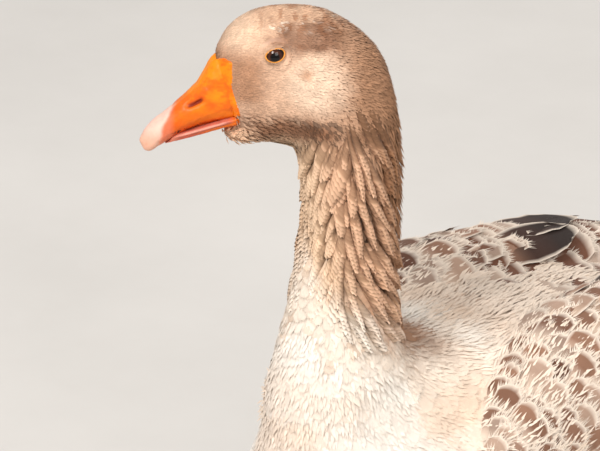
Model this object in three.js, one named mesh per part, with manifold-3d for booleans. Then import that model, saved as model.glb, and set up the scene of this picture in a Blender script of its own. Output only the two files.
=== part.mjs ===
// A standing domestic goose with its head turned to its right, life size.
// Millimetres, +Z up. The goose faces -Y, so its left side is at +X.
// The origin is on the floor, below the middle of the whole bird.
import * as THREE from "three";
import { mergeVertices } from "three/addons/utils/BufferGeometryUtils.js";
import Module from "manifold-3d";

const wasm = await Module();
wasm.setup();

// ---- Driving dimensions -------------------------------------------------------------------

const GAP = 0.4; // clearance between neighbouring pieces
const HEAD_YAW = THREE.MathUtils.degToRad(-48); // the head looks to the goose's right
const HEAD_ROLL = THREE.MathUtils.degToRad(-7); // and its crown leans away from its left side
const ROLL_PIVOT_Z = 515;

// Facets round each kind of section.
const BODY_SIDES = 24;
const BILL_SIDES = 16;
const WING_SIDES = 16;
const TAIL_SIDES = 16;
const THIGH_SIDES = 12;
const SHANK_SIDES = 10;
const TOE_SIDES = 8;
const CLAW_SIDES = 6;
const BALL_SIDES = 10;
const BALL_RINGS = 6;
const RINGS_PER_STATION = 2;
const WING_RINGS_PER_STATION = 1.6;
const TAIL_RINGS_PER_STATION = 1.4;
const LIMB_STEPS = 5; // lengths along a shank or thigh
const EYE_FINENESS = 1.5; // how much finer an eye's facets are than another ball's

const EYE_RADIUS = 6.6;
const EYE_CENTRE = { x: 19.6, y: -44.5, z: 586.2 }; // in the head's own frame

const FOOT_SPREAD = 56; // each foot's sideways distance from the middle
const FOOT_BACK = 172; // where the toes meet, behind the neck's axis
const TOE_RADIUS = 5.2;
const TOE_STEPS = 6;
const TOE_HEIGHT = { root: 0.95, tip: 0.7 }; // its axis above the floor, as shares of its radius
const TOE_TAPER = 0.42;
const KNUCKLE = { swell: 0.14, count: 3 };
const WEB_THICKNESS = 3;
const WEB_REACH = 0.93; // how far along the toes the web goes
const WEB_SCOOP = 0.2; // how far its front edge curves in
const SHANK_RADIUS = 6.5;
const SHANK_FLARE = 0.22; // how much thicker it is at its two ends
const ANKLE_BALL = { z: 7, radius: 8.5 };
const HOCK = { back: 30, z: 95, radius: 8.5 }; // the heel joint, from where the toes meet
const KNEE = { x: 54, y: 152, z: 212 }; // hidden in the body's feathers
const THIGH_RADIUS = { hock: 9.5, knee: 34, swell: 1.3 };

// The body is a bent tube. Each station is a flat section through it, given by its dorsal and
// ventral points [y, z] in the section's own upright plane and by half its width. The head's
// plane is turned by HEAD_YAW about the neck's upright axis, and the neck unwinds that turn.
const BODY_STATIONS = [
  // head, from the bill's base to the nape
  { dorsal: [-80, 583], ventral: [-62, 532], half: 14.5, yaw: 1 },
  { dorsal: [-73.5, 597.5], ventral: [-57.5, 530.5], half: 19, yaw: 1 },
  { dorsal: [-58.5, 608.5], ventral: [-51.5, 530], half: 23, yaw: 1 },
  { dorsal: [-38, 612], ventral: [-45, 530], half: 25.5, yaw: 1 },
  { dorsal: [-17, 609.5], ventral: [-39, 529], half: 28, yaw: 1 },
  { dorsal: [1.5, 598], ventral: [-35, 526], half: 29.5, yaw: 1 },
  { dorsal: [16, 582], ventral: [-33, 519], half: 30, yaw: 1 },
  { dorsal: [25.5, 560.5], ventral: [-32, 509], half: 30, yaw: 0.95 },
  // neck, going down
  { dorsal: [29.5, 531], ventral: [-31, 496], half: 30, yaw: 0.8 },
  { dorsal: [30.5, 495], ventral: [-31.5, 475], half: 30, yaw: 0.55 },
  { dorsal: [30, 460], ventral: [-35, 451], half: 31.5, yaw: 0.25 },
  { dorsal: [28, 428], ventral: [-44, 419], half: 35, yaw: 0.05 },
  // breast and trunk, going back
  { dorsal: [29, 405], ventral: [-54, 383], half: 40, yaw: 0 },
  { dorsal: [46, 397], ventral: [-60, 343], half: 45, yaw: 0 },
  { dorsal: [76, 393], ventral: [-66, 297], half: 61, yaw: 0 },
  { dorsal: [116, 389], ventral: [-68, 243], half: 84, yaw: 0 },
  { dorsal: [166, 381], ventral: [-42, 184], half: 103, yaw: 0 },
  { dorsal: [220, 369], ventral: [22, 150], half: 110, yaw: 0 },
  { dorsal: [272, 353], ventral: [120, 138], half: 101, yaw: 0 },
  { dorsal: [318, 335], ventral: [216, 156], half: 82, yaw: 0 },
  { dorsal: [356, 320], ventral: [298, 206], half: 58, yaw: 0 },
  { dorsal: [384, 308], ventral: [352, 260], half: 37, yaw: 0 },
];
const ROUND = 2; // the superellipse power of the head's and neck's sections
const BELLY_FULLNESS = 2.25; // and of the trunk's
const FULLER = { from: 7, to: 14 }; // the stations between which the one turns into the other

const TRUNK_START = 11; // the station above which wings, tail and legs never reach

// Where the body is parted, as positions along the stations.
const BODY_PARTS = [
  ["head", 0, 6.6],
  ["neck_upper", 6.6, 9],
  ["neck_middle", 9, 11],
  ["neck_base", 11, 13],
  ["breast", 13, 15.5],
  ["trunk", 15.5, 19],
  ["rump", 19, 21],
];

// A folded wing is a pod over the trunk's side: [y, centre x, centre z, half width, half height].
const WING_STATIONS = [
  [20, 80, 305, 4, 8],
  [25, 79, 307, 18, 28],
  [47, 74, 311, 34, 54],
  [86, 67, 313, 50, 74],
  [135, 63, 315, 60, 82],
  [190, 59, 317, 57, 75],
  [245, 52, 319, 50, 61],
  [300, 42, 321, 39, 43],
  [352, 32, 321, 28, 26],
  [404, 22, 316, 16, 13],
  [440, 16, 311, 6, 4],
];
const WING_CUT = 0.005; // half a cut between two pieces, in stations
const WING_PARTS = [
  ["coverts", 0, 4.2],
  ["secondaries", 4.2, 7.4],
  ["primaries", 7.4, 10],
];

// The tail is a flat fan: [y, centre z, half width, half thickness].
const TAIL_STATIONS = [
  [362, 300, 32, 14],
  [392, 297, 49, 11],
  [426, 296, 63, 7.5],
  [454, 296, 64, 5],
  [471, 296, 50, 3],
  [477, 296, 24, 1.5],
];
const TAIL_SAG = 0.06; // how far the fan's edges hang, as a share of its half width

// The bill, in the head's frame, as body stations are written.
const UPPER_BILL_STATIONS = [
  { dorsal: [-80, 583], ventral: [-62, 543.5], half: 14.5 },
  { dorsal: [-85, 573.8], ventral: [-74, 542.5], half: 13.8 },
  { dorsal: [-90.5, 564.5], ventral: [-86, 540.5], half: 13 },
  { dorsal: [-97.5, 557.3], ventral: [-95, 537.5], half: 12.2 },
  { dorsal: [-104.3, 551.2], ventral: [-102.5, 533.5], half: 11.4 },
  { dorsal: [-110, 546.5], ventral: [-108.5, 530], half: 10.2 },
  { dorsal: [-116, 542], ventral: [-113.5, 526.5], half: 8.2 },
  { dorsal: [-121, 536], ventral: [-117.5, 524], half: 5.4 },
  { dorsal: [-123.5, 530.5], ventral: [-120.5, 524.5], half: 2 },
];
const LOWER_BILL_STATIONS = [
  { dorsal: [-63, 542.5], ventral: [-62, 536], half: 13.2 },
  { dorsal: [-75, 541.5], ventral: [-74.5, 534.8], half: 12.2 },
  { dorsal: [-87, 538.6], ventral: [-87, 532], half: 10.8 },
  { dorsal: [-98, 534.2], ventral: [-98.5, 529.6], half: 9.4 },
  { dorsal: [-106, 529.6], ventral: [-106.5, 527], half: 7.6 },
  { dorsal: [-111, 526.8], ventral: [-111.2, 525.6], half: 4.5 },
];
const BILL_FULLNESS = 2.3;
const NAIL_START = 5; // the station where the bill's nail begins
const NAIL_CUT = 0.06; // the cut before it, in stations

// Front toes: [name, length, outward turn in degrees, radius factor].
const FRONT_TOES = [
  ["inner", 68, -27, 0.9],
  ["middle", 86, 2, 1],
  ["outer", 80, 28, 0.9],
];
const HIND_TOE = { length: 21, turn: -150, radius: 3.2, z: 14 };
const CLAW = { length: 11, radius: 2.7, drop: 1.2, taper: 0.8, steps: 3 };
const HIND_CLAW = 0.6; // its size, as a share of a front claw's

// ---- Shared helpers -----------------------------------------------------------------------

// A smooth curve through values at whole positions, read at any position between them.
function smoothRead(values, position) {
  const last = values.length - 1;
  const i = Math.min(Math.floor(position), last - 1);
  const t = position - i;
  const at = (k) => values[THREE.MathUtils.clamp(k, 0, last)];
  const [a, b, c, d] = [at(i - 1), at(i), at(i + 1), at(i + 2)];
  const slopeB = (c - a) / 2;
  const slopeC = (d - b) / 2;
  const t2 = t * t;
  const t3 = t2 * t;
  return (
    b * (2 * t3 - 3 * t2 + 1) +
    slopeB * (t3 - 2 * t2 + t) +
    c * (3 * t2 - 2 * t3) +
    slopeC * (t3 - t2)
  );
}

// A closed surface over a list of rings with equal numbers of points, capped at both ends.
function loft(rings) {
  const sides = rings[0].length;
  const positions = [];
  const index = [];
  for (const ring of rings) {
    for (const p of ring) positions.push(p.x, p.y, p.z);
  }
  for (let r = 0; r < rings.length - 1; r++) {
    for (let k = 0; k < sides; k++) {
      const a = r * sides + k;
      const b = r * sides + ((k + 1) % sides);
      index.push(a, b, b + sides, a, b + sides, a + sides);
    }
  }
  for (const [r, flip] of [[0, true], [rings.length - 1, false]]) {
    const middle = new THREE.Vector3();
    for (const p of rings[r]) middle.addScaledVector(p, 1 / sides);
    const centre = positions.length / 3;
    positions.push(middle.x, middle.y, middle.z);
    for (let k = 0; k < sides; k++) {
      const a = r * sides + k;
      const b = r * sides + ((k + 1) % sides);
      index.push(centre, flip ? b : a, flip ? a : b);
    }
  }
  const geometry = new THREE.BufferGeometry();
  geometry.setAttribute("position", new THREE.Float32BufferAttribute(positions, 3));
  geometry.setIndex(index);
  return geometry;
}

// A geometry as a solid that faces out.
function solidOf(geometry) {
  const bare = new THREE.BufferGeometry();
  const source = geometry.index ? geometry.toNonIndexed() : geometry;
  bare.setAttribute("position", source.getAttribute("position"));
  const merged = mergeVertices(bare, 1e-4);
  const make = (triVerts) =>
    new wasm.Manifold(
      new wasm.Mesh({
        numProp: 3,
        vertProperties: new Float32Array(merged.attributes.position.array),
        triVerts,
      }),
    );
  const triangles = new Uint32Array(merged.index.array);
  const solid = make(triangles);
  if (solid.volume() > 0) return solid;
  for (let i = 0; i < triangles.length; i += 3) {
    [triangles[i + 1], triangles[i + 2]] = [triangles[i + 2], triangles[i + 1]];
  }
  return make(triangles);
}

// The largest body of a solid, as a geometry. Crumbs left by a cut are dropped.
function geometryOf(solid) {
  const bodies = solid.decompose();
  bodies.sort((a, b) => b.volume() - a.volume());
  const mesh = bodies[0].getMesh();
  const geometry = new THREE.BufferGeometry();
  const positions = [];
  for (let i = 0; i < mesh.numVert; i++) {
    positions.push(...mesh.vertProperties.slice(i * mesh.numProp, i * mesh.numProp + 3));
  }
  geometry.setAttribute("position", new THREE.Float32BufferAttribute(positions, 3));
  geometry.setIndex(Array.from(mesh.triVerts));
  geometry.computeVertexNormals();
  return geometry;
}

// A box between two corners, as a solid.
function boxSolid(low, high) {
  const geometry = new THREE.BoxGeometry(high[0] - low[0], high[1] - low[1], high[2] - low[2]);
  geometry.translate((low[0] + high[0]) / 2, (low[1] + high[1]) / 2, (low[2] + high[2]) / 2);
  return solidOf(geometry);
}

function ballSolid(centre, radius, fineness = 1) {
  const geometry = new THREE.SphereGeometry(radius, BALL_SIDES * fineness, BALL_RINGS * fineness);
  geometry.translate(centre.x, centre.y, centre.z);
  return solidOf(geometry);
}

// A tube through points with a radius at each, with rounded ends.
function limb(points, radii, sides) {
  const rings = [];
  const up = new THREE.Vector3(1, 0, 0);
  points.forEach((p, i) => {
    const before = points[Math.max(i - 1, 0)];
    const after = points[Math.min(i + 1, points.length - 1)];
    const along = after.clone().sub(before).normalize();
    const side = new THREE.Vector3().crossVectors(along, up).normalize();
    const other = new THREE.Vector3().crossVectors(along, side).normalize();
    const ring = [];
    for (let k = 0; k < sides; k++) {
      const angle = (2 * Math.PI * k) / sides;
      ring.push(
        p
          .clone()
          .addScaledVector(side, radii[i] * Math.cos(angle))
          .addScaledVector(other, radii[i] * Math.sin(angle)),
      );
    }
    rings.push(ring);
  });
  return solidOf(loft(rings));
}

// ---- The body's tube ----------------------------------------------------------------------

// Where the head's own frame sits for a yaw and a roll.
function turnedPlace(yaw, roll) {
  return new THREE.Matrix4()
    .makeRotationZ(yaw)
    .multiply(new THREE.Matrix4().makeTranslation(0, 0, ROLL_PIVOT_Z))
    .multiply(new THREE.Matrix4().makeRotationY(roll))
    .multiply(new THREE.Matrix4().makeTranslation(0, 0, -ROLL_PIVOT_Z));
}

// A ring of the body, or of the bill, at a position along its stations.
function sectionRing(stations, position, sides, power, grow = 0) {
  const read = (pick) => smoothRead(stations.map(pick), position);
  const dorsal = new THREE.Vector2(read((s) => s.dorsal[0]), read((s) => s.dorsal[1]));
  const ventral = new THREE.Vector2(read((s) => s.ventral[0]), read((s) => s.ventral[1]));
  const half = read((s) => s.half) + grow;
  const yaw = HEAD_YAW * read((s) => s.yaw ?? 1);
  const middle = dorsal.clone().add(ventral).multiplyScalar(0.5);
  const reach = dorsal.clone().sub(middle);
  reach.setLength(reach.length() + grow);
  const place = turnedPlace(yaw, HEAD_ROLL * Math.max(0, 2 * (yaw / HEAD_YAW) - 1));
  const ring = [];
  for (let k = 0; k < sides; k++) {
    const angle = (2 * Math.PI * k) / sides;
    const c = Math.cos(angle);
    const s = Math.sin(angle);
    const up = Math.sign(c) * Math.abs(c) ** (2 / power);
    const across = Math.sign(s) * Math.abs(s) ** (2 / power) * half;
    const point = new THREE.Vector3(across, middle.x + reach.x * up, middle.y + reach.y * up);
    ring.push(point.applyMatrix4(place));
  }
  return ring;
}

// The power of a body section: round on the head and neck, fuller on the trunk.
function bodyPower(position) {
  const t = THREE.MathUtils.smoothstep(position, FULLER.from, FULLER.to);
  return THREE.MathUtils.lerp(ROUND, BELLY_FULLNESS, t);
}

function bodySolid(from, to, grow = 0) {
  const steps = Math.max(2, Math.round((to - from) * RINGS_PER_STATION));
  const rings = [];
  for (let i = 0; i <= steps; i++) {
    const position = from + ((to - from) * i) / steps;
    rings.push(sectionRing(BODY_STATIONS, position, BODY_SIDES, bodyPower(position), grow));
  }
  return solidOf(loft(rings));
}

// How far along the stations to step back from a cut, so that the pieces keep GAP between them.
function cutStep(position) {
  const stride = 0.01;
  const here = sectionRing(BODY_STATIONS, position, BODY_SIDES, ROUND);
  const ahead = sectionRing(BODY_STATIONS, position + stride, BODY_SIDES, ROUND);
  const moves = here.map((p, k) => p.distanceTo(ahead[k]) / stride);
  return GAP / Math.min(...moves);
}

// ---- Wings and tail -----------------------------------------------------------------------

function wingSolid(side, from, to) {
  const rings = [];
  const steps = Math.round((to - from) * WING_RINGS_PER_STATION);
  for (let i = 0; i <= steps; i++) {
    const position = from + ((to - from) * i) / steps;
    const [y, x, z, half, rise] = [0, 1, 2, 3, 4].map((c) =>
      smoothRead(WING_STATIONS.map((s) => s[c]), position),
    );
    const ring = [];
    for (let k = 0; k < WING_SIDES; k++) {
      const angle = (2 * Math.PI * k) / WING_SIDES;
      ring.push(
        new THREE.Vector3(side * (x + half * Math.sin(angle)), y, z + rise * Math.cos(angle)),
      );
    }
    rings.push(ring);
  }
  return solidOf(loft(rings));
}

function tailSolid(grow = 0) {
  const rings = [];
  const steps = Math.round((TAIL_STATIONS.length - 1) * TAIL_RINGS_PER_STATION);
  for (let i = 0; i <= steps; i++) {
    const position = ((TAIL_STATIONS.length - 1) * i) / steps;
    const [y, z, half, thick] = [0, 1, 2, 3].map((c) =>
      smoothRead(TAIL_STATIONS.map((s) => s[c]), position),
    );
    const ring = [];
    for (let k = 0; k < TAIL_SIDES; k++) {
      const angle = (2 * Math.PI * k) / TAIL_SIDES;
      const sag = -TAIL_SAG * half * Math.sin(angle) ** 2;
      ring.push(
        new THREE.Vector3(
          (half + grow) * Math.sin(angle),
          y,
          z + (thick + grow) * Math.cos(angle) + sag,
        ),
      );
    }
    rings.push(ring);
  }
  return solidOf(loft(rings));
}

// ---- Legs ---------------------------------------------------------------------------------

const REACH = 700; // beyond the bird in every direction
const floorBelow = boxSolid([-REACH, -REACH, -REACH], [REACH, REACH, 0]);

// The direction of a toe on the floor, for a turn outwards on one side of the body.
function toeDirection(side, degrees) {
  const turn = THREE.MathUtils.degToRad(degrees);
  return new THREE.Vector3(side * Math.sin(turn), -Math.cos(turn), 0);
}

function toeSolid(side, start, length, degrees, radius) {
  const along = toeDirection(side, degrees);
  const points = [];
  const radii = [];
  for (let i = 0; i <= TOE_STEPS; i++) {
    const t = i / TOE_STEPS;
    const knuckle = 1 + KNUCKLE.swell * Math.cos(t * 2 * Math.PI * KNUCKLE.count);
    const height = radius * THREE.MathUtils.lerp(TOE_HEIGHT.root, TOE_HEIGHT.tip, t);
    points.push(start.clone().addScaledVector(along, length * t).setZ(height));
    radii.push(radius * (1 - TOE_TAPER * t) * knuckle);
  }
  return limb(points, radii, TOE_SIDES);
}

// The web between two toes: a flat plate whose front edge curves in.
function webSolid(side, start, first, second) {
  const shape = new THREE.Shape();
  const tip = (toe) => {
    const p = toeDirection(side, toe[2]).multiplyScalar(toe[1] * WEB_REACH).add(start);
    return new THREE.Vector2(p.x, p.y);
  };
  const a = tip(first);
  const b = tip(second);
  const origin = new THREE.Vector2(start.x, start.y);
  const inward = a.clone().add(b).multiplyScalar(0.5).lerp(origin, WEB_SCOOP);
  shape.moveTo(origin.x, origin.y);
  shape.lineTo(a.x, a.y);
  shape.quadraticCurveTo(inward.x, inward.y, b.x, b.y);
  shape.closePath();
  const geometry = new THREE.ExtrudeGeometry(shape, {
    depth: WEB_THICKNESS,
    bevelEnabled: false,
    curveSegments: 6,
  });
  return solidOf(geometry);
}

function footStart(side) {
  return new THREE.Vector3(side * FOOT_SPREAD, FOOT_BACK, 0);
}

function footSolid(side) {
  const start = footStart(side);
  let foot = ballSolid({ ...start, z: ANKLE_BALL.z }, ANKLE_BALL.radius);
  for (const [, length, turn, factor] of FRONT_TOES) {
    foot = foot.add(toeSolid(side, start, length, turn, TOE_RADIUS * factor));
  }
  foot = foot.add(webSolid(side, start, FRONT_TOES[0], FRONT_TOES[1]));
  foot = foot.add(webSolid(side, start, FRONT_TOES[1], FRONT_TOES[2]));
  foot = foot.add(hindToe(side, start));
  return foot.subtract(shankSolid(side, GAP)).subtract(floorBelow);
}

function hindToe(side, start) {
  const tip = toeDirection(side, HIND_TOE.turn).multiplyScalar(HIND_TOE.length).add(start);
  return limb(
    [
      start.clone().setZ(HIND_TOE.z),
      start.clone().lerp(tip, 0.55).setZ(HIND_TOE.z * 0.62),
      tip.clone().setZ(HIND_TOE.radius),
    ],
    [HIND_TOE.radius * 1.2, HIND_TOE.radius, HIND_TOE.radius * 0.8],
    TOE_SIDES,
  );
}

function clawSolid(side, length, degrees, size = 1) {
  const start = footStart(side);
  const along = toeDirection(side, degrees);
  const points = [];
  const radii = [];
  for (let i = 0; i <= CLAW.steps; i++) {
    const t = i / CLAW.steps;
    const reach = length + GAP + CLAW.length * size * t;
    const z = (CLAW.radius + CLAW.drop * (0.25 - t * t)) * size;
    points.push(start.clone().addScaledVector(along, reach).setZ(z));
    radii.push(CLAW.radius * size * (1 - CLAW.taper * t * t));
  }
  return limb(points, radii, CLAW_SIDES).subtract(floorBelow);
}

function shankSolid(side, grow = 0) {
  const foot = footStart(side);
  const hock = new THREE.Vector3(side * (FOOT_SPREAD + 1), FOOT_BACK + HOCK.back, HOCK.z);
  const points = [];
  const radii = [];
  for (let i = 0; i <= LIMB_STEPS; i++) {
    const t = i / LIMB_STEPS;
    points.push(foot.clone().setZ(ANKLE_BALL.z).lerp(hock, t));
    radii.push(SHANK_RADIUS * (1 + SHANK_FLARE * (2 * t - 1) ** 4) + grow);
  }
  const ankle = ballSolid({ ...foot, z: ANKLE_BALL.z }, ANKLE_BALL.radius + GAP);
  const knob = ballSolid(hock, HOCK.radius + grow);
  return limb(points, radii, SHANK_SIDES).add(knob).subtract(ankle);
}

function thighSolid(side) {
  const hock = new THREE.Vector3(side * (FOOT_SPREAD + 1), FOOT_BACK + HOCK.back, HOCK.z);
  const knee = new THREE.Vector3(side * KNEE.x, KNEE.y, KNEE.z);
  const points = [];
  const radii = [];
  for (let i = 0; i <= LIMB_STEPS; i++) {
    const t = i / LIMB_STEPS;
    const swell = Math.sin((t * Math.PI) / 2) ** THIGH_RADIUS.swell;
    points.push(hock.clone().lerp(knee, t));
    radii.push(THREE.MathUtils.lerp(THIGH_RADIUS.hock, THIGH_RADIUS.knee, swell));
  }
  return limb(points, radii, THIGH_SIDES).subtract(shankSolid(side, GAP));
}

// ---- Materials ----------------------------------------------------------------------------

function material(colour, roughness) {
  return new THREE.MeshStandardMaterial({ color: colour, roughness, metalness: 0 });
}

const MATERIALS = {
  fawn: material(0xc8ab93, 0.85),
  buff: material(0xc0996d, 0.85),
  cream: material(0xe9d9c6, 0.85),
  brown: material(0x8a6450, 0.8),
  white: material(0xf0e8dc, 0.85),
  orange: material(0xf08a10, 0.45),
  nail: material(0xf0d2bd, 0.4),
  eye: material(0x1a0d06, 0.08),
  foot: material(0xe0741c, 0.5),
  claw: material(0x6b5446, 0.5),
};

// ---- Assembly -----------------------------------------------------------------------------

const goose = new THREE.Group();

function addPart(name, solid, finish, parent = goose) {
  const mesh = new THREE.Mesh(geometryOf(solid), finish);
  mesh.name = name;
  parent.add(mesh);
  return mesh;
}

const HEAD_PLACE = turnedPlace(HEAD_YAW, HEAD_ROLL);
const headTurn = new THREE.Group(); // pieces built unturned in the head's own frame
headTurn.applyMatrix4(HEAD_PLACE);
goose.add(headTurn);

function turnedSolid(solid, place = HEAD_PLACE) {
  return solidOf(geometryOf(solid).applyMatrix4(place));
}

const eyes = { left: 1, right: -1 };

// Head, neck and trunk.
const BODY_FINISH = {
  head: MATERIALS.fawn,
  neck_upper: MATERIALS.buff,
  neck_middle: MATERIALS.buff,
  neck_base: MATERIALS.cream,
  breast: MATERIALS.cream,
  trunk: MATERIALS.cream,
  rump: MATERIALS.white,
};
const trunkGrown = bodySolid(TRUNK_START, BODY_STATIONS.length - 1, GAP);

for (const [name, from, to] of BODY_PARTS) {
  const start = from === 0 ? 0 : from + cutStep(from);
  const end = to === BODY_STATIONS.length - 1 ? to : to - cutStep(to);
  let solid = bodySolid(start, end);
  if (name === "head") {
    for (const side of Object.values(eyes)) {
      const socket = ballSolid({ ...EYE_CENTRE, x: side * EYE_CENTRE.x }, EYE_RADIUS + GAP, EYE_FINENESS);
      solid = solid.subtract(turnedSolid(socket));
    }
  }
  addPart(name, solid, BODY_FINISH[name]);
}

// Eyes.
for (const [name, side] of Object.entries(eyes)) {
  const ball = ballSolid({ ...EYE_CENTRE, x: side * EYE_CENTRE.x }, EYE_RADIUS, EYE_FINENESS);
  addPart(`eye_${name}`, ball, MATERIALS.eye, headTurn);
}

// Bill. Its base keeps GAP to the head's flat front.
function billSolid(stations, from, to) {
  const unturned = stations.map((s) => ({ ...s, yaw: 0 }));
  const rings = [];
  const steps = Math.round((to - from) * 2);
  for (let i = 0; i <= steps; i++) {
    const position = from + ((to - from) * i) / steps;
    rings.push(sectionRing(unturned, position, BILL_SIDES, BILL_FULLNESS));
  }
  return solidOf(loft(rings));
}
const lastUpper = UPPER_BILL_STATIONS.length - 1;
const headGrown = turnedSolid(bodySolid(0, 2, GAP), HEAD_PLACE.clone().invert());
const lowerBill = billSolid(LOWER_BILL_STATIONS, 0, LOWER_BILL_STATIONS.length - 1);
addPart(
  "bill_upper",
  billSolid(UPPER_BILL_STATIONS, 0, NAIL_START - NAIL_CUT).subtract(headGrown),
  MATERIALS.orange,
  headTurn,
);
addPart("bill_nail", billSolid(UPPER_BILL_STATIONS, NAIL_START, lastUpper), MATERIALS.nail, headTurn);
addPart("bill_lower", lowerBill.subtract(headGrown), MATERIALS.orange, headTurn);

// Wings and tail.
const WING_FINISH = {
  coverts: MATERIALS.cream,
  secondaries: MATERIALS.brown,
  primaries: MATERIALS.brown,
};
for (const [sideName, side] of [["left", 1], ["right", -1]]) {
  const otherHalf = boxSolid(
    [side > 0 ? -REACH : -GAP / 2, -REACH, 0],
    [side > 0 ? GAP / 2 : REACH, REACH, REACH],
  );
  for (const [name, from, to] of WING_PARTS) {
    const start = from === 0 ? from : from + WING_CUT;
    const end = to === WING_STATIONS.length - 1 ? to : to - WING_CUT;
    const piece = wingSolid(side, start, end).subtract(otherHalf);
    const solid = piece.subtract(trunkGrown).subtract(tailSolid(GAP));
    addPart(`wing_${sideName}_${name}`, solid, WING_FINISH[name]);
  }
}
addPart("tail", tailSolid().subtract(trunkGrown), MATERIALS.white);

// Legs.
for (const [sideName, side] of [["left", 1], ["right", -1]]) {
  addPart(`thigh_${sideName}`, thighSolid(side).subtract(trunkGrown), MATERIALS.cream);
  addPart(`shank_${sideName}`, shankSolid(side), MATERIALS.foot);
  addPart(`foot_${sideName}`, footSolid(side), MATERIALS.foot);
  for (const [toe, length, turn] of FRONT_TOES) {
    addPart(`claw_${sideName}_${toe}`, clawSolid(side, length, turn), MATERIALS.claw);
  }
  const hindClaw = clawSolid(side, HIND_TOE.length, HIND_TOE.turn, HIND_CLAW);
  addPart(`claw_${sideName}_hind`, hindClaw, MATERIALS.claw);
}

// The origin moves to the floor below the middle of the whole bird.
const whole = new THREE.Box3().setFromObject(goose);
const middle = whole.getCenter(new THREE.Vector3());
goose.position.set(-middle.x, -middle.y, -whole.min.z);

export default goose;
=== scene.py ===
"""A standing domestic goose: skin, plumage, bill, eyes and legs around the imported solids.

Lengths below are in millimetres and become metres when a mesh is made. The goose faces -Y and its
left side is at +X. Its head is turned to its right, and has an upright frame of its own.
"""
import math

import bpy
import numpy as np
from mathutils import Matrix, Vector
from mathutils.bvhtree import BVHTree
from mathutils.kdtree import KDTree


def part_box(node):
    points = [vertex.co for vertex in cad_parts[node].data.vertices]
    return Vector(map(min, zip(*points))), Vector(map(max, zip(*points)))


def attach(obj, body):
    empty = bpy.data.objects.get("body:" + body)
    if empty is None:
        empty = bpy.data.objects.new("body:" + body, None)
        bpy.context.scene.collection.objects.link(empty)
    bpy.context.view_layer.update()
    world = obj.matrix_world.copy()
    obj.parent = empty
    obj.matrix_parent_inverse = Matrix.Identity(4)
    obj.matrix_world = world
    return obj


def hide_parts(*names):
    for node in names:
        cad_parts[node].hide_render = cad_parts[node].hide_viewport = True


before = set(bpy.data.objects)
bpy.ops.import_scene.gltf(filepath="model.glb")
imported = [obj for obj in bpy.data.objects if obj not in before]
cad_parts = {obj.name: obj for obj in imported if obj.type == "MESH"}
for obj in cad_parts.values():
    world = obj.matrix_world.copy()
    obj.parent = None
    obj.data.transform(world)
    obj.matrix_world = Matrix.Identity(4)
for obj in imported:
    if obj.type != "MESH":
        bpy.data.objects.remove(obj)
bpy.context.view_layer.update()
MM = 0.001
RNG = np.random.default_rng(7)
UP = np.array([0.0, 0.0, 1.0])
LEFT = np.array([1.0, 0.0, 0.0])
BACK = np.array([0.0, 1.0, 0.0])


# ---- Places, from the frame ------------------------------------------------------------------


def box_mm(node):
    low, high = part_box(node)
    return np.array(low) / MM, np.array(high) / MM


def middle(node):
    low, high = box_mm(node)
    return (low + high) / 2


def unit(vectors):
    return vectors / np.maximum(np.linalg.norm(vectors, axis=-1, keepdims=True), 1e-9)


TAIL_TIP_BACK = 477.0  # from the neck's upright axis to the tail's tip
NECK_Y = box_mm("tail")[1][1] - TAIL_TIP_BACK
EYES = {"left": middle("eye_left"), "right": middle("eye_right")}
EYE_MIDDLE = (EYES["left"] + EYES["right"]) / 2
EYE_RADIUS = (box_mm("eye_left")[1] - box_mm("eye_left")[0]).max() / 2

# The head's own axes: to its left, to its back and up.
HEAD_LEFT = unit(EYES["left"] - EYES["right"])
HEAD_BACK = unit(np.cross(UP, HEAD_LEFT))
HEAD_UP = np.cross(HEAD_LEFT, HEAD_BACK)
HEAD_AXES = np.stack([HEAD_LEFT, HEAD_BACK, HEAD_UP])


def to_head(points):
    """Places in the head's own frame, from the middle between the eyes."""
    return (points - EYE_MIDDLE) @ HEAD_AXES.T


def from_head(points):
    return EYE_MIDDLE + np.asarray(points, float) @ HEAD_AXES


def laid(ways, normals):
    """The ways turned to lie flat on the surface."""
    return unit(ways - normals * (ways * normals).sum(1, keepdims=True))


def smooth(low, high, values):
    t = np.clip((values - low) / (high - low), 0, 1)
    return t * t * (3 - 2 * t)


def even(value, count):
    """The same tone or way for this many points."""
    return np.tile(value, (count, 1))


def mix(a, b, t):
    """a where t is 0, and b where it is 1."""
    t = np.asarray(t, float)
    if np.ndim(a) > t.ndim or np.ndim(b) > t.ndim:
        t = t[..., None]
    return a + (np.asarray(b, float) - a) * t


# The body's centreline runs from the bill's base down the neck and back to the tail.
CENTRELINE = np.array(
    [
        from_head([0, -30, -26]),
        from_head([0, 22, -16]),
        *[middle(n) for n in ("neck_upper", "neck_middle", "neck_base")],
        [0, NECK_Y + 30, 335],
        [0, NECK_Y + 110, 285],
        [0, NECK_Y + 210, 270],
        [0, NECK_Y + 300, 275],
        [0, NECK_Y + 380, 290],
        [0, NECK_Y + TAIL_TIP_BACK, 296],
    ]
)
# What is to the left of the centreline at each of its points.
CENTRE_LEFT = np.array([HEAD_LEFT] * 2 + [unit(HEAD_LEFT + LEFT)] + [LEFT] * 8)
CENTRE_ALONG = unit(np.gradient(CENTRELINE, axis=0))
LAST_STATION = len(CENTRELINE) - 1


def along_body(points):
    """How far along the centreline each point is, in its stations."""
    start, step = CENTRELINE[:-1], np.diff(CENTRELINE, axis=0)
    best = np.full(len(points), np.inf)
    station = np.zeros(len(points))
    for i in range(len(step)):
        t = np.clip(((points - start[i]) @ step[i]) / (step[i] @ step[i]), 0, 1)
        gap = np.linalg.norm(points - start[i] - t[:, None] * step[i], axis=1)
        near = gap < best
        best[near] = gap[near]
        station[near] = (i + t)[near]
    return station


def read_at(table, station):
    i = np.clip(station.astype(int), 0, len(table) - 2)
    return mix(table[i], table[i + 1], station - i)


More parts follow.
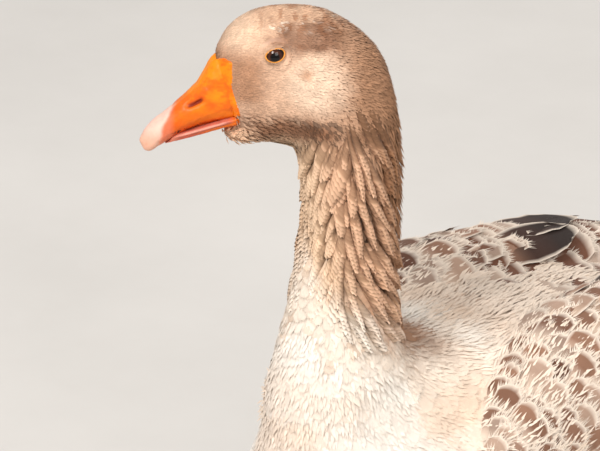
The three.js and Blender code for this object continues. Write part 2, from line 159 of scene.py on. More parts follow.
def unwrap(points):
    """The skin's own unwrap: the angle about the centreline, and how far along it."""
    station = along_body(points)
    out = points - read_at(CENTRELINE, station)
    left = unit(read_at(CENTRE_LEFT, station))
    back = np.cross(left, read_at(CENTRE_ALONG, station))
    angle = np.arctan2((out * left).sum(1), (out * back).sum(1))
    return np.stack([angle / (2 * math.pi) + 0.5, station / LAST_STATION], axis=1)


# ---- Noise -----------------------------------------------------------------------------------


def hashed(cell):
    """A whole number for each cell of a grid, with no pattern that shows."""
    return (cell[:, 0] * 73856093) ^ (cell[:, 1] * 19349663) ^ (cell[:, 2] * 83492791)


def noise(points, size, seed=0):
    """Smooth value noise from 0 to 1, with lumps of this size."""
    p = points / size + 100.0 + 17.3 * seed
    cell = np.floor(p).astype(np.int64)
    f = p - cell
    f = f * f * (3 - 2 * f)
    total = 0.0
    for corner in range(8):
        d = np.array([corner & 1, corner >> 1 & 1, corner >> 2 & 1])
        h = hashed(cell + d) ^ (seed * 2654435)
        h = (h ^ (h >> 13)) * 1274126177 & 0x7FFFFFFF
        value = (h ^ (h >> 16)) % 10007 / 10006.0
        total = total + value * np.prod(np.where(d, f, 1 - f), axis=1)
    return total


# ---- Meshes ----------------------------------------------------------------------------------


def new_object(name, verts, faces):
    mesh = bpy.data.meshes.new(name)
    verts = np.asarray(verts, float) * MM
    count, sides = faces.shape
    mesh.vertices.add(len(verts))
    mesh.vertices.foreach_set("co", verts.astype(np.float32).ravel())
    mesh.loops.add(count * sides)
    mesh.loops.foreach_set("vertex_index", faces.astype(np.int32).ravel())
    mesh.polygons.add(count)
    mesh.polygons.foreach_set("loop_start", np.arange(0, count * sides, sides, np.int32))
    mesh.update(calc_edges=True)
    mesh.polygons.foreach_set("use_smooth", np.ones(len(mesh.polygons), bool))
    obj = bpy.data.objects.new(name, mesh)
    bpy.context.scene.collection.objects.link(obj)
    return obj


def paint_points(mesh, name, tones):
    rgba = np.ones((len(tones), 4), np.float32)
    rgba[:, :3] = np.clip(tones, 0, 1)
    paint = mesh.color_attributes.new(name=name, type="FLOAT_COLOR", domain="POINT")
    paint.data.foreach_set("color", rgba.ravel())


def mesh_arrays(mesh):
    verts = np.zeros(len(mesh.vertices) * 3, np.float32)
    mesh.vertices.foreach_get("co", verts)
    mesh.calc_loop_triangles()
    triangles = np.zeros(len(mesh.loop_triangles) * 3, np.int32)
    mesh.loop_triangles.foreach_get("vertices", triangles)
    return verts.reshape(-1, 3).astype(float) / MM, triangles.reshape(-1, 3)


def vertex_normals(verts, faces):
    a, b, c = verts[faces[:, 0]], verts[faces[:, 1]], verts[faces[:, 2]]
    face_normals = np.cross(b - a, c - a)
    normals = np.zeros_like(verts)
    for k in range(faces.shape[1]):
        for axis in range(3):
            normals[:, axis] += np.bincount(faces[:, k], face_normals[:, axis], len(verts))
    return unit(normals)


def neighbour_mean(values, faces):
    """Each point's mean over its neighbours along the faces' edges."""
    sides = faces.shape[1]
    pairs = np.concatenate([faces[:, [k, (k + 1) % sides]] for k in range(sides)])
    pairs = np.concatenate([pairs, pairs[:, ::-1]])
    count = np.maximum(np.bincount(pairs[:, 0], minlength=len(values)), 1)
    columns = values if values.ndim == 2 else values[:, None]
    total = [np.bincount(pairs[:, 0], column[pairs[:, 1]], len(values)) for column in columns.T]
    mean = np.stack(total, axis=1) / count[:, None]
    return mean if values.ndim == 2 else mean[:, 0]


def relaxed(verts, faces, rounds, factor=0.5, swell=1.04):
    """The points drawn towards their neighbours and back out, which keeps the volume."""
    for _ in range(rounds):
        verts = verts + factor * (neighbour_mean(verts, faces) - verts)
        verts = verts - factor * swell * (neighbour_mean(verts, faces) - verts)
    return verts


def triangles_of(quads):
    return np.concatenate([quads[:, [0, 1, 2]], quads[:, [0, 2, 3]]])


def joined_solid(nodes, voxel, grow=0.5, rounds=12, extra=()):
    """One closed surface round these CAD nodes and extra meshes, without the cuts between them."""
    verts, faces, start = [], [], 0
    for node in nodes:
        v, f = mesh_arrays(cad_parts[node].data)
        v, index = np.unique(v.round(4), axis=0, return_inverse=True)
        f = index.reshape(-1)[f]
        verts.append(v + grow * vertex_normals(v, f))
        faces.append(f)
    for v, f in extra:
        verts.append(v)
        faces.append(triangles_of(f))
    for k, v in enumerate(verts):
        faces[k] = faces[k] + start
        start += len(v)
    obj = new_object("scratch", np.concatenate(verts), np.concatenate(faces))
    modifier = obj.modifiers.new("remesh", "REMESH")
    modifier.mode = "VOXEL"
    modifier.voxel_size = voxel * MM
    mesh = obj.evaluated_get(bpy.context.evaluated_depsgraph_get()).to_mesh()
    verts, _ = mesh_arrays(mesh)
    quads = np.zeros(len(mesh.loops), np.int32)
    mesh.loops.foreach_get("vertex_index", quads)
    quads = quads.reshape(-1, 4)
    bpy.data.objects.remove(obj)
    return relaxed(verts, quads, rounds), quads


def ball(radius, rings, sectors):
    """A ball about +X: rings from its front pole to its back one."""
    polar = np.linspace(0, math.pi, rings)[:, None]
    round_it = np.arange(sectors)[None, :] * 2 * math.pi / sectors
    x = np.cos(polar) + 0 * round_it
    y, z = np.sin(polar) * np.cos(round_it), np.sin(polar) * np.sin(round_it)
    verts = radius * np.stack([x, y, z], axis=-1).reshape(-1, 3)
    return verts, closed_grid(rings, sectors)


def closed_grid(rings, sectors):
    """Quads between rings of points that close on themselves."""
    i = np.arange(rings * sectors).reshape(rings, sectors)
    j = np.roll(i, -1, axis=1)
    return np.stack([i[:-1], i[1:], j[1:], j[:-1]], axis=-1).reshape(-1, 4)


class Surface:
    """A mesh that points can be dropped on, with smooth normals."""

    def __init__(self, verts, faces):
        self.verts, self.faces = verts, faces
        self.normals = vertex_normals(verts, faces)
        self.tree = BVHTree.FromPolygons(verts.tolist(), faces.tolist())

    def normal_at(self, places, index):
        corners = self.faces[index]
        near = 1 / (np.linalg.norm(self.verts[corners] - places[:, None], axis=2) + 0.05)
        return unit((self.normals[corners] * near[..., None]).sum(1))

    def nearest(self, points):
        found = [self.tree.find_nearest(Vector(p)) for p in points]
        places = np.array([f[0] for f in found])
        return places, self.normal_at(places, np.array([f[2] for f in found]))

    def cast(self, starts, ways):
        """The first place hit from each start, its normal, and whether there is one."""
        found = [self.tree.ray_cast(Vector(a), Vector(b)) for a, b in zip(starts, ways)]
        hit = np.array([f[0] is not None for f in found])
        places = np.array([f[0] if f[0] is not None else (0, 0, 0) for f in found], float)
        index = np.array([f[2] if f[2] is not None else 0 for f in found])
        return places, self.normal_at(places, index), hit


# ---- Skin ------------------------------------------------------------------------------------

FLESH = ["head", "neck_upper", "neck_middle", "neck_base", "breast", "trunk", "rump", "tail"]
SIDES = {"left": 1.0, "right": -1.0}
for side in SIDES:
    FLESH += [f"thigh_{side}"]
    FLESH += [f"wing_{side}_{part}" for part in ("coverts", "secondaries", "primaries")]

# The opening between the eyelids.
LID_LONG, LID_HIGH, LID_TILT = 5.4, 3.65, math.radians(14)
LID_TUBE = 0.33
LID_CENTRE = (0.1, 0.9)  # the opening's middle, back and up from the eyeball's
LID_POINTS, LID_TUBE_POINTS = 72, 10  # round the opening, and round its rim of bare skin
# How far outside the opening each ring of the feathered lid is.
LID_MARGINS = np.array([0.0, 0.35, 0.9, 1.6, 2.4, 3.3, 4.3, 5.4])

# The plumage's depth over the skin at each station of the centreline.
COAT_DEPTH = np.array([1.1, 1.3, 4.6, 5.2, 5.0, 4.6, 4.6, 4.8, 4.6, 3.4, 2.0])
THIN_PART_SHARE = 0.3  # the coat's most depth, as a share of the body's thickness there
LOCK_DEPTH = 3.6  # how much deeper the coat is under the neck's locks
SKIN_VOXEL = 2.8
WING_ROOT_ROUNDS, DEPTH_ROUNDS = 50, 8  # of filling at the wing, and of evening the depth

# The neck's front turns from below the bill at the top to straight ahead at the breast.
FRONT_TURN_TOP = math.degrees(math.atan2(-HEAD_BACK[0], HEAD_BACK[1]))
TURN_HIGH, TURN_LOW = 545.0, 400.0


def neck_front(z):
    """The way that the neck's front faces at each height, in degrees from -Y towards +X."""
    return FRONT_TURN_TOP * smooth(TURN_LOW, TURN_HIGH, z)


def fork_spread(z):
    """How far round from the front the locks part to front and nape, in degrees."""
    return mix(36.0, 88.0, smooth(400, 540, z))


def wrapped(degrees):
    return (degrees + 180.0) % 360.0 - 180.0


def neck_angle(points):
    """The angle from the neck's front, in degrees, positive to the left."""
    x, y = points[:, 0], points[:, 1] - NECK_Y - 2
    return wrapped(np.degrees(np.arctan2(x, -y)) - neck_front(points[:, 2]))


def in_locks(points):
    """1 where the neck's deep locks lie, 0 outside them."""
    turn, z = np.abs(neck_angle(points)), points[:, 2]
    low = mix(450.0, 390.0, smooth(15, 60, turn))
    h = to_head(points)
    below_head = smooth(-40, -52, h[:, 2]) * smooth(8, 22, h[:, 1])
    return smooth(low, low + 22, z) * smooth(574, 556, z) * smooth(165, 140, turn) * below_head


# The feathered chin between the two sides of the lower mandible, in the head's frame.
CHIN_MIDDLE, CHIN_RADII = (0.0, -17.5, -50.6), (10.0, 14.0, 6.9)


def chin():
    verts, faces = ball(1.0, 24, 32)
    return from_head(verts * CHIN_RADII + CHIN_MIDDLE), faces


def filled(verts, faces, rounds, share):
    """Hollows drawn out towards their rims, where share(points) is above 0."""
    amount = share(verts)[:, None]
    for _ in range(rounds):
        normals = vertex_normals(verts, faces)
        pull = ((neighbour_mean(verts, faces) - verts) * normals).sum(1, keepdims=True)
        verts = verts + normals * np.maximum(pull, 0) * amount
    return verts


def at_wing_root(points):
    """Where the folded wing meets breast and flank, which plumage hides on a real bird."""
    x, y, z = np.abs(points[:, 0]), points[:, 1] - NECK_Y, points[:, 2]
    return 0.95 * smooth(28, 45, x) * smooth(170, 110, y) * smooth(405, 385, z) + 0.35 * smooth(110, 170, y)


outer_verts, outer_faces = joined_solid(FLESH + ["eye_left", "eye_right"], SKIN_VOXEL, extra=[chin()])
outer_verts = filled(outer_verts, outer_faces, WING_ROOT_ROUNDS, at_wing_root)
OUTER = Surface(outer_verts, outer_faces)


def coat_depth(verts, normals):
    depth = read_at(COAT_DEPTH, along_body(verts))
    depth = depth + LOCK_DEPTH * in_locks(verts)
    far, _, hit = OUTER.cast(verts - normals * 0.5, -normals)
    thick = np.where(hit, np.linalg.norm(far - verts, axis=1), 100.0)
    return np.minimum(depth, THIN_PART_SHARE * thick)


def lid_gap(h, margin):
    """1 on an almond this far outside the eye's opening, less inside it."""
    y, z = h[..., 1] - LID_CENTRE[0], h[..., 2] - LID_CENTRE[1]
    along = y * math.cos(LID_TILT) + z * math.sin(LID_TILT)
    up = z * math.cos(LID_TILT) - y * math.sin(LID_TILT)
    return np.hypot(along / (LID_LONG + margin), up / (LID_HIGH + margin))


def sink_under_eyes(verts):
    """The skin drawn in behind each eye's opening, so that the eyeball and lids show."""
    h = to_head(verts)
    sink = 4.5 * smooth(1.0, 0.55, lid_gap(h, 2.2)) * (np.abs(h[:, 0]) > 10)
    h[:, 0] -= np.sign(h[:, 0]) * sink
    return from_head(h)


def make_skin():
    depth = coat_depth(outer_verts, OUTER.normals)
    for _ in range(DEPTH_ROUNDS):
        depth = neighbour_mean(depth, outer_faces)
    return sink_under_eyes(outer_verts - OUTER.normals * depth[:, None])


skin_verts = make_skin()
SKIN = Surface(skin_verts, outer_faces)


# ---- Markings, the same on skin and plumage --------------------------------------------------


def colour(red, green, blue):
    """An sRGB colour from 0 to 255, as linear light."""
    c = np.array([red, green, blue]) / 255.0
    return np.where(c <= 0.04045, c / 12.92, ((c + 0.055) / 1.055) ** 2.4)


WHITE = colour(246, 240, 232)
CREAM = colour(238, 224, 208)
MANTLE = colour(233, 213, 194)
TAN = colour(215, 172, 140)
NAPE_BROWN = colour(160, 116, 84)
CHIN_BROWN = colour(236, 194, 160)
WING_BROWN = colour(116, 78, 60)
WING_DARK_BROWN = colour(88, 54, 40)
WING_PALE_BROWN = colour(156, 118, 96)
TERTIAL_DARK = colour(62, 41, 33)
QUILL_BLACK = colour(40, 27, 22)
# Painted shade on the skin under the feathers, as a share of their own tone: darkest on the neck, in the
# slits between the locks.
HEAD_SKIN_SHADE, NECK_SKIN_SHADE, BODY_SKIN_SHADE = 0.85, 0.30, 0.7


def head_markings(h):
    y, z = h[:, 1], h[:, 2]
    wander = 9 * (noise(h, 6.0, 10) - 0.5)
    c = even(colour(220, 181, 152), len(h))
    # forehead, cheek and crown
    c = mix(c, colour(236, 203, 174), smooth(-4, -22, y) * smooth(-4, 8, z))
    c = mix(c, colour(234, 204, 178), smooth(26, 10, np.hypot(y - 24, (z + 16) * 1.1)))
    c = mix(c, colour(214, 176, 146), smooth(13, 20, z) * smooth(-20, -4, y) * smooth(40, 25, y))
    # brown patches and pale flecks on the crown
    flecks = smooth(0.60, 0.72, noise(h * [1.2, 0.8, 1], 1.5, 1)) * smooth(0.35, 0.6, noise(h, 7, 9))
    patches = smooth(0.46, 0.62, noise(h * [1, 1.6, 1], 4.5, 8))
    crown = smooth(8, 15, z) * smooth(-16, -2, y)
    c = mix(c, colour(172, 124, 92), 0.75 * crown * patches)
    c = mix(c, colour(242, 222, 202), 0.75 * smooth(9, 15, z) * smooth(-22, -6, y) * flecks)
    # the dark streak behind the eye, the brow over it and the lore before it
    streak = smooth(-2, 7, y + wander) * smooth(50, 30, y + wander) * smooth(-1, 6, z + wander / 3)
    streak = streak * smooth(24, 12, z + wander)
    c = mix(c, colour(112, 70, 46), streak * (0.62 + 0.4 * noise(h, 4.5, 10)))
    brow = smooth(-9, -2, y) * smooth(9, 3, y) * smooth(4.5, 7, z) * smooth(12, 8.5, z)
    c = mix(c, colour(170, 124, 96), 0.6 * brow)
    lore = smooth(0, -16, y) * smooth(6, -8, z) * smooth(-38, -24, z + wander)
    c = mix(c, colour(170, 120, 86), 0.75 * lore)
    # lower cheek, chin, ear and nape
    lower_cheek = smooth(-30, -43, z + wander) * smooth(46, 26, y) * smooth(-24, -8, y)
    c = mix(c, colour(136, 88, 58), 0.85 * lower_cheek)
    # the chin's own tan, made lighter as painted bounce light where the head shades it
    c = mix(c, CHIN_BROWN, smooth(-10, -22, y) * smooth(-42, -47, z))
    ear = smooth(6.0, 0.5, np.hypot(y - 17, z + 10) + wander / 3)
    c = mix(c, colour(176, 118, 78), 0.6 * ear)
    c = mix(c, NAPE_BROWN * 0.92, 0.85 * smooth(24, 52, y + wander))
    lumps = noise(h, 2.4, 2) * 0.55 + noise(h, 5.5, 3) * 0.45
    return c * (0.72 + 0.46 * lumps)[:, None]


def neck_markings(p):
    z, turn = p[:, 2], np.abs(neck_angle(p))
    c = even(TAN, len(p))
    c = mix(c, colour(219, 187, 156), smooth(75, 25, turn))
    c = mix(c, NAPE_BROWN, smooth(95, 140, turn))
    c = mix(c, CREAM, smooth(-18, 22, (470 - z) - 0.55 * turn + 16 * (noise(p, 14, 4) - 0.5)))
    c = mix(c, WHITE, smooth(0, 40, (445 - z) - 0.5 * turn))
    ticks = smooth(0.64, 0.76, noise(p * [1, 1, 0.3], 2.6, 15)) * smooth(392, 415, z) * smooth(480, 455, z)
    c = mix(c, colour(206, 168, 134), 0.4 * ticks)
    return c * (0.86 + 0.22 * noise(p, 4.5, 5))[:, None]


def body_markings(p, normals):
    x, y, z = np.abs(p[:, 0]), p[:, 1] - NECK_Y, p[:, 2]
    c = even(MANTLE, len(p))
    front = smooth(60, -30, y) * smooth(420, 340, z)
    c = mix(c, WHITE, front * smooth(95, 40, x))
    c = mix(c, CREAM, smooth(0.1, -0.5, normals[:, 2]))
    c = mix(c, WHITE, smooth(250, 340, y) * smooth(320, 260, z))
    c = mix(c, WHITE, smooth(330, 400, y))
    # painted light: the shoulders behind the neck's foot made paler where the neck casts its shadow on the
    # back
    c = mix(c, colour(255, 250, 240), 0.85 * smooth(75, 30, np.hypot(x - 22, y - 25)) * smooth(365, 385, z))
    patches = noise(p, 30, 6)
    c = mix(c, colour(222, 190, 160), 0.45 * smooth(0.55, 0.8, patches) * smooth(60, 110, z))
    return c * (0.92 + 0.12 * noise(p, 8, 7))[:, None]


def markings(points, normals):
    h = to_head(points)
    z = points[:, 2]
    above = smooth(-58, -44, h[:, 2] + 0.35 * np.clip(-h[:, 1], 0, 60))
    head = head_markings(h)
    neck = neck_markings(points)
    body = body_markings(points, normals)
    turn = np.abs(neck_angle(points))
    c = mix(neck, head, above * smooth(75, 55, h[:, 1]))
    behind = points[:, 1] - NECK_Y
    neck_share = smooth(380, 412, z + 0.12 * (turn - 60))
    neck_share = neck_share * mix(1, smooth(62, 42, behind), smooth(465, 440, z))
    return mix(body, c, neck_share)


# ---- Vanes: the feathers' meshes -------------------------------------------------------------

BAKE_PATCH = 0.003  # how wide each tuft is on the OFBake map
VANE_UV_LENGTH = 10.0  # millimetres to one unit of the vane map


class Coat:
    """Collects tufts and vanes, and makes one mesh of them."""

    def __init__(self, name, slot):
        self.name, self.slot = name, slot
        self.verts, self.faces, self.colours, self.vane, self.bake = [], [], [], [], []
        self.count = 0

    def add(self, verts, faces, colours, vane, patch, roots):
        """verts and colours are (vanes, points, 3), faces serve one vane, vane is in millimetres."""
        vanes, points = verts.shape[:2]
        all_faces = faces[None] + self.count + np.arange(vanes)[:, None, None] * points
        vane = np.broadcast_to(vane, (vanes, points, 2))
        self.verts.append(verts.reshape(-1, 3))
        self.faces.append(all_faces.reshape(-1, 3))
        self.colours.append(np.broadcast_to(colours, (vanes, points, 3)).reshape(-1, 3))
        self.vane.append(vane.reshape(-1, 2) / VANE_UV_LENGTH)
        spot = unwrap(roots)[:, None] + BAKE_PATCH * (np.asarray(patch) - 0.5)
        self.bake.append(spot.reshape(-1, 2))
        self.count += vanes * points

    def build(self, material):
        verts, faces = np.concatenate(self.verts), np.concatenate(self.faces)
        obj = new_object(self.name, verts, faces)
        mesh = obj.data
        loops = faces.ravel()
        bake = np.concatenate(self.bake)
        low, high = bake.min(0), bake.max(0)
        spots = (bake - low) / (high - low)
        for name, values in (("OFBake", spots), ("vane", np.concatenate(self.vane))):
            layer = mesh.uv_layers.new(name=name)
            layer.uv.foreach_set("vector", values[loops].astype(np.float32).ravel())
        paint_points(mesh, "plumage", np.concatenate(self.colours))
        mesh.materials.append(material)
        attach(obj, "root")
        print(self.name, len(faces), "triangles")


def grid_triangles(rows, columns):
    i = np.arange(rows * columns).reshape(rows, columns)
    a, b, c, d = i[:-1, :-1], i[:-1, 1:], i[1:, 1:], i[1:, :-1]
    pairs = [np.stack([a, b, c], axis=-1), np.stack([a, c, d], axis=-1)]
    return np.concatenate(pairs).reshape(-1, 3)


KITE_FACES = np.array([[0, 3, 2], [0, 2, 1], [2, 3, 4], [2, 4, 1]])
KITE_PATCH = np.array([[0.5, 0], [0, 0.5], [0.5, 0.5], [1, 0.5], [0.5, 1]])


def add_kites(coat, roots, normals, ways, lengths, widths, lifts, arch, tones, bow=0.0, root_shade=0.8):
    """Small pointed tufts of four triangles. lifts are the heights of root, middle and tip."""
    ways = laid(ways, normals)
    sides = np.cross(ways, normals)
    length, width = lengths[:, None], widths[:, None]
    low, mid, high = (np.asarray(lift).reshape(-1, 1) for lift in lifts)
    waist = roots + ways * length * 0.5 + sides * (bow * RNG.normal(size=(len(roots), 1)))
    rest = waist + normals * mid
    verts = np.stack(
        [
            roots + normals * low,
            rest - sides * width / 2,
            rest + normals * arch,
            rest + sides * width / 2,
            roots + ways * length + normals * high,
        ],
        axis=1,
    )
    # painted shade at the root and the sides, and a little lighter at the tip
    edge_shade = (root_shade + 1) / 2
    shade = np.array([root_shade, edge_shade, 1.0, edge_shade, 1.06])[None, :, None]
    vane = np.zeros((len(roots), 5, 2))
    vane[:, :, 0] = (KITE_PATCH[:, 0] - 0.5) * width
    vane[:, :, 1] = KITE_PATCH[:, 1] * length
    coat.add(verts, KITE_FACES, tones[:, None, :] * shade, vane, KITE_PATCH, roots)


def scattered(surface, wanted, spacing, seed):
    """Random roots where wanted(points) is true, thinned so that none are closer than the spacing.

    The spacing is a length, or a function of the points.
    """

    def gaps(points):
        return spacing(points) if callable(spacing) else np.full(len(points), spacing)

    rng = np.random.default_rng(seed)
    v, f = surface.verts, surface.faces
    centres = v[f].mean(1)
    keep = wanted(centres)
    f, centres = f[keep], centres[keep]
    a, b, c, d = (v[f[:, k]] for k in range(4))
    area = 0.5 * np.linalg.norm(np.cross(c - a, d - b), axis=1)
    expected = 3.2 * area / gaps(centres) ** 2
    count = rng.poisson(expected)
    face = np.repeat(np.arange(len(f)), count)
    s, t = rng.random((2, len(face), 1))
    a, b, c, d = (corner[face] for corner in (a, b, c, d))
    points = mix(mix(a, b, s[:, 0]), mix(d, c, s[:, 0]), t[:, 0])
    normals = surface.normals[f[face]].mean(1)
    gap = gaps(points)
    order = rng.permutation(len(points))
    points, normals, gap = points[order], unit(normals[order]), gap[order]
    tree = KDTree(len(points))
    for i, p in enumerate(points):
        tree.insert(p, i)
    tree.balance()
    alive = np.ones(len(points), bool)
    for i, p in enumerate(points):
        if alive[i]:
            for _, j, _ in tree.find_range(p, gap[i]):
                if j > i:
                    alive[j] = False
    return points[alive], normals[alive]


# ---- Materials -------------------------------------------------------------------------------


class Shader:
    """A Principled material and the nodes that feed it."""

    def __init__(self, name, **sockets):
        self.material = bpy.data.materials.new(name)
        self.material.use_nodes = True
        self.nodes = self.material.node_tree.nodes
        self.links = self.material.node_tree.links
        self.main = self.nodes["Principled BSDF"]
        for socket, value in sockets.items():
            self.main.inputs[socket.replace("_", " ")].default_value = value

    def node(self, kind, **settings):
        node = self.nodes.new("ShaderNode" + kind)
        for key, value in settings.items():
            if key in node.inputs:
                node.inputs[key].default_value = value
            else:
                setattr(node, key, value)
        return node

    def attribute(self, name):
        return self.node("Attribute", attribute_name=name).outputs["Color"]

    def feed(self, socket, source):
        self.link(source, self.main.inputs[socket])

    def link(self, source, target):
        self.links.new(source, target)

    def math(self, operation, first, second=None):
        node = self.node("Math", operation=operation)
        for socket, value in zip(node.inputs, (first, second)):
            if isinstance(value, (int, float)):
                socket.default_value = value
            elif value is not None:
                self.link(value, socket)
        return node.outputs[0]

    def noise(self, scale, detail=3.0, roughness=0.6, vector=None):
        node = self.node("TexNoise", Scale=scale, Detail=detail, Roughness=roughness)
        if vector is None:
            vector = self.node("TexCoord").outputs["Object"]
        self.link(vector, node.inputs["Vector"])
        return node.outputs["Fac"]

    def ramp(self, factor, low, high, dark, light):
        """dark where the factor is at low, light where it is at high, as a colour."""
        node = self.node("ValToRGB")
        first, second = node.color_ramp.elements
        first.position, second.position = low, high
        first.color, second.color = (*dark, 1), (*light, 1)
        self.link(factor, node.inputs["Fac"])
        return node.outputs["Color"]

    def multiply(self, first, second, factor=1.0):
        node = self.node("Mix", data_type="RGBA", blend_type="MULTIPLY")
        node.inputs[0].default_value = factor
        self.link(first, node.inputs[6])
        self.link(second, node.inputs[7])
        return node.outputs[2]

    def bump(self, height, strength, distance):
        node = self.node("Bump", Strength=strength, Distance=distance)
        self.link(height, node.inputs["Height"])
        self.feed("Normal", node.outputs["Normal"])


def grey(value):
    return (value, value, value)


def plumage_material(name, barb_pitch=0.55, barb_strength=0.35):
    """Feather: the painted markings, with barbs that slant from each shaft in bump and tone."""
    shader = Shader(name, Roughness=0.82, Sheen_Weight=0.06, Sheen_Roughness=0.45, Specular_IOR_Level=0.2)
    paint = shader.attribute("plumage")
    vane = shader.node("UVMap", uv_map="vane").outputs["UV"]
    split = shader.node("SeparateXYZ")
    shader.link(vane, split.inputs[0])
    aside = shader.math("ABSOLUTE", split.outputs["X"])
    slant = shader.math("SUBTRACT", split.outputs["Y"], shader.math("MULTIPLY", aside, 0.9))
    wander = shader.math("MULTIPLY", shader.noise(260.0, 2.0), 0.12)
    turns = 2 * math.pi * VANE_UV_LENGTH / barb_pitch
    wave = shader.math("SINE", shader.math("MULTIPLY", shader.math("ADD", slant, wander), turns))
    height = shader.math("ADD", shader.math("MULTIPLY", wave, 0.5), shader.noise(900.0, 2.0))
    tone = shader.ramp(height, 0.2, 1.0, grey(0.86), grey(1.0))
    mottle = shader.ramp(shader.noise(130.0, 4.0), 0.3, 0.7, grey(0.90), grey(1.0))
    shader.feed("Base Color", shader.multiply(shader.multiply(paint, tone), mottle))
    shader.bump(height, barb_strength, 0.0003)
    return shader.material


PLUMAGE = plumage_material("plumage")
DOWN = plumage_material("small_plumage", barb_pitch=0.4, barb_strength=0.2)


# ---- Neck map --------------------------------------------------------------------------------

TURN_STEP, HEIGHT_STEP = 4.0, 3.0
MAP_TURNS = np.arange(0, 360, TURN_STEP)
MAP_HEIGHTS = np.arange(335, 600, HEIGHT_STEP)
NECK_AXIS = np.array([middle(n) for n in ("neck_base", "neck_middle", "neck_upper")])


def neck_axis(z):
    order = np.argsort(NECK_AXIS[:, 2])
    x = np.interp(z, NECK_AXIS[order, 2], NECK_AXIS[order, 0])
    y = np.interp(z, NECK_AXIS[order, 2], NECK_AXIS[order, 1])
    return np.stack([x, y, np.asarray(z, float)], axis=-1)


def outward(turn):
    """The level way at this many degrees from -Y towards +X."""
    a = np.radians(turn)
    return np.stack([np.sin(a), -np.cos(a), np.zeros_like(a)], axis=-1)


class NeckMap:
    """How far the skin is from the neck's axis, by angle and height."""

    def __init__(self, surface):
        turn, z = np.meshgrid(MAP_TURNS, MAP_HEIGHTS, indexing="ij")
        starts = neck_axis(z.ravel())
        places, normals, _ = surface.cast(starts, outward(turn.ravel()))
        self.reach = np.linalg.norm(places - starts, axis=1).reshape(turn.shape)
        self.normals = normals.reshape(*turn.shape, 3)

    def read(self, table, turn, z):
        i = (turn % 360.0) / TURN_STEP
        j = np.clip((z - MAP_HEIGHTS[0]) / HEIGHT_STEP, 0, len(MAP_HEIGHTS) - 1.001)
        i0, j0 = i.astype(int) % len(MAP_TURNS), j.astype(int)
        i1, j1 = (i0 + 1) % len(MAP_TURNS), j0 + 1
        near = mix(table[i0, j0], table[i1, j0], i - i.astype(int))
        far = mix(table[i0, j1], table[i1, j1], i - i.astype(int))
        return mix(near, far, j - j0)

    def place(self, turn, z, height):
        normal = unit(self.read(self.normals, turn, z))
        ground = neck_axis(z) + outward(turn) * self.read(self.reach, turn, z)[..., None]
        return ground + normal * np.asarray(height)[..., None]


NECK = NeckMap(SKIN)


# ---- Neck locks ------------------------------------------------------------------------------

LOCK_STEP = 1.1  # how far each feather's tip stands off the next one down the lock
LOCK_TOP, LOCK_BOTTOM = 566.0, 396.0
NECK_RADIUS = 30.0


def lock_middles(pitch, pitch_z, inside, seed):
    """Middles of locks in staggered rows round the neck: angle from the front, and height."""
    rng = np.random.default_rng(seed)
    pitch_turn = np.degrees(pitch / NECK_RADIUS)
    middles = []
    for row, z in enumerate(np.arange(LOCK_TOP, LOCK_BOTTOM, -pitch_z / 2)):
        turns = np.arange(-180, 180, pitch_turn) + (row % 2) * pitch_turn / 2
        z_row = z + rng.uniform(-0.3, 0.3, len(turns)) * pitch_z
        turns = turns + rng.uniform(-0.2, 0.2, len(turns)) * pitch_turn
        middles += list(zip(turns, z_row))
    middles = np.array(middles)
    return middles[inside(middles[:, 0], middles[:, 1])]


def lock_lean(turn, z):
    """How the locks lean: those before the fork to the front, those behind it to the nape."""
    side = np.where(turn > 0, 1.0, -1.0)
    past_fork = np.abs(turn) - fork_spread(z)
    lean = mix(-0.36, 0.50, smooth(-14, 12, past_fork))
    lean = lean * smooth(2, 24, np.abs(turn)) * smooth(178, 130, np.abs(turn))
    return lean * side


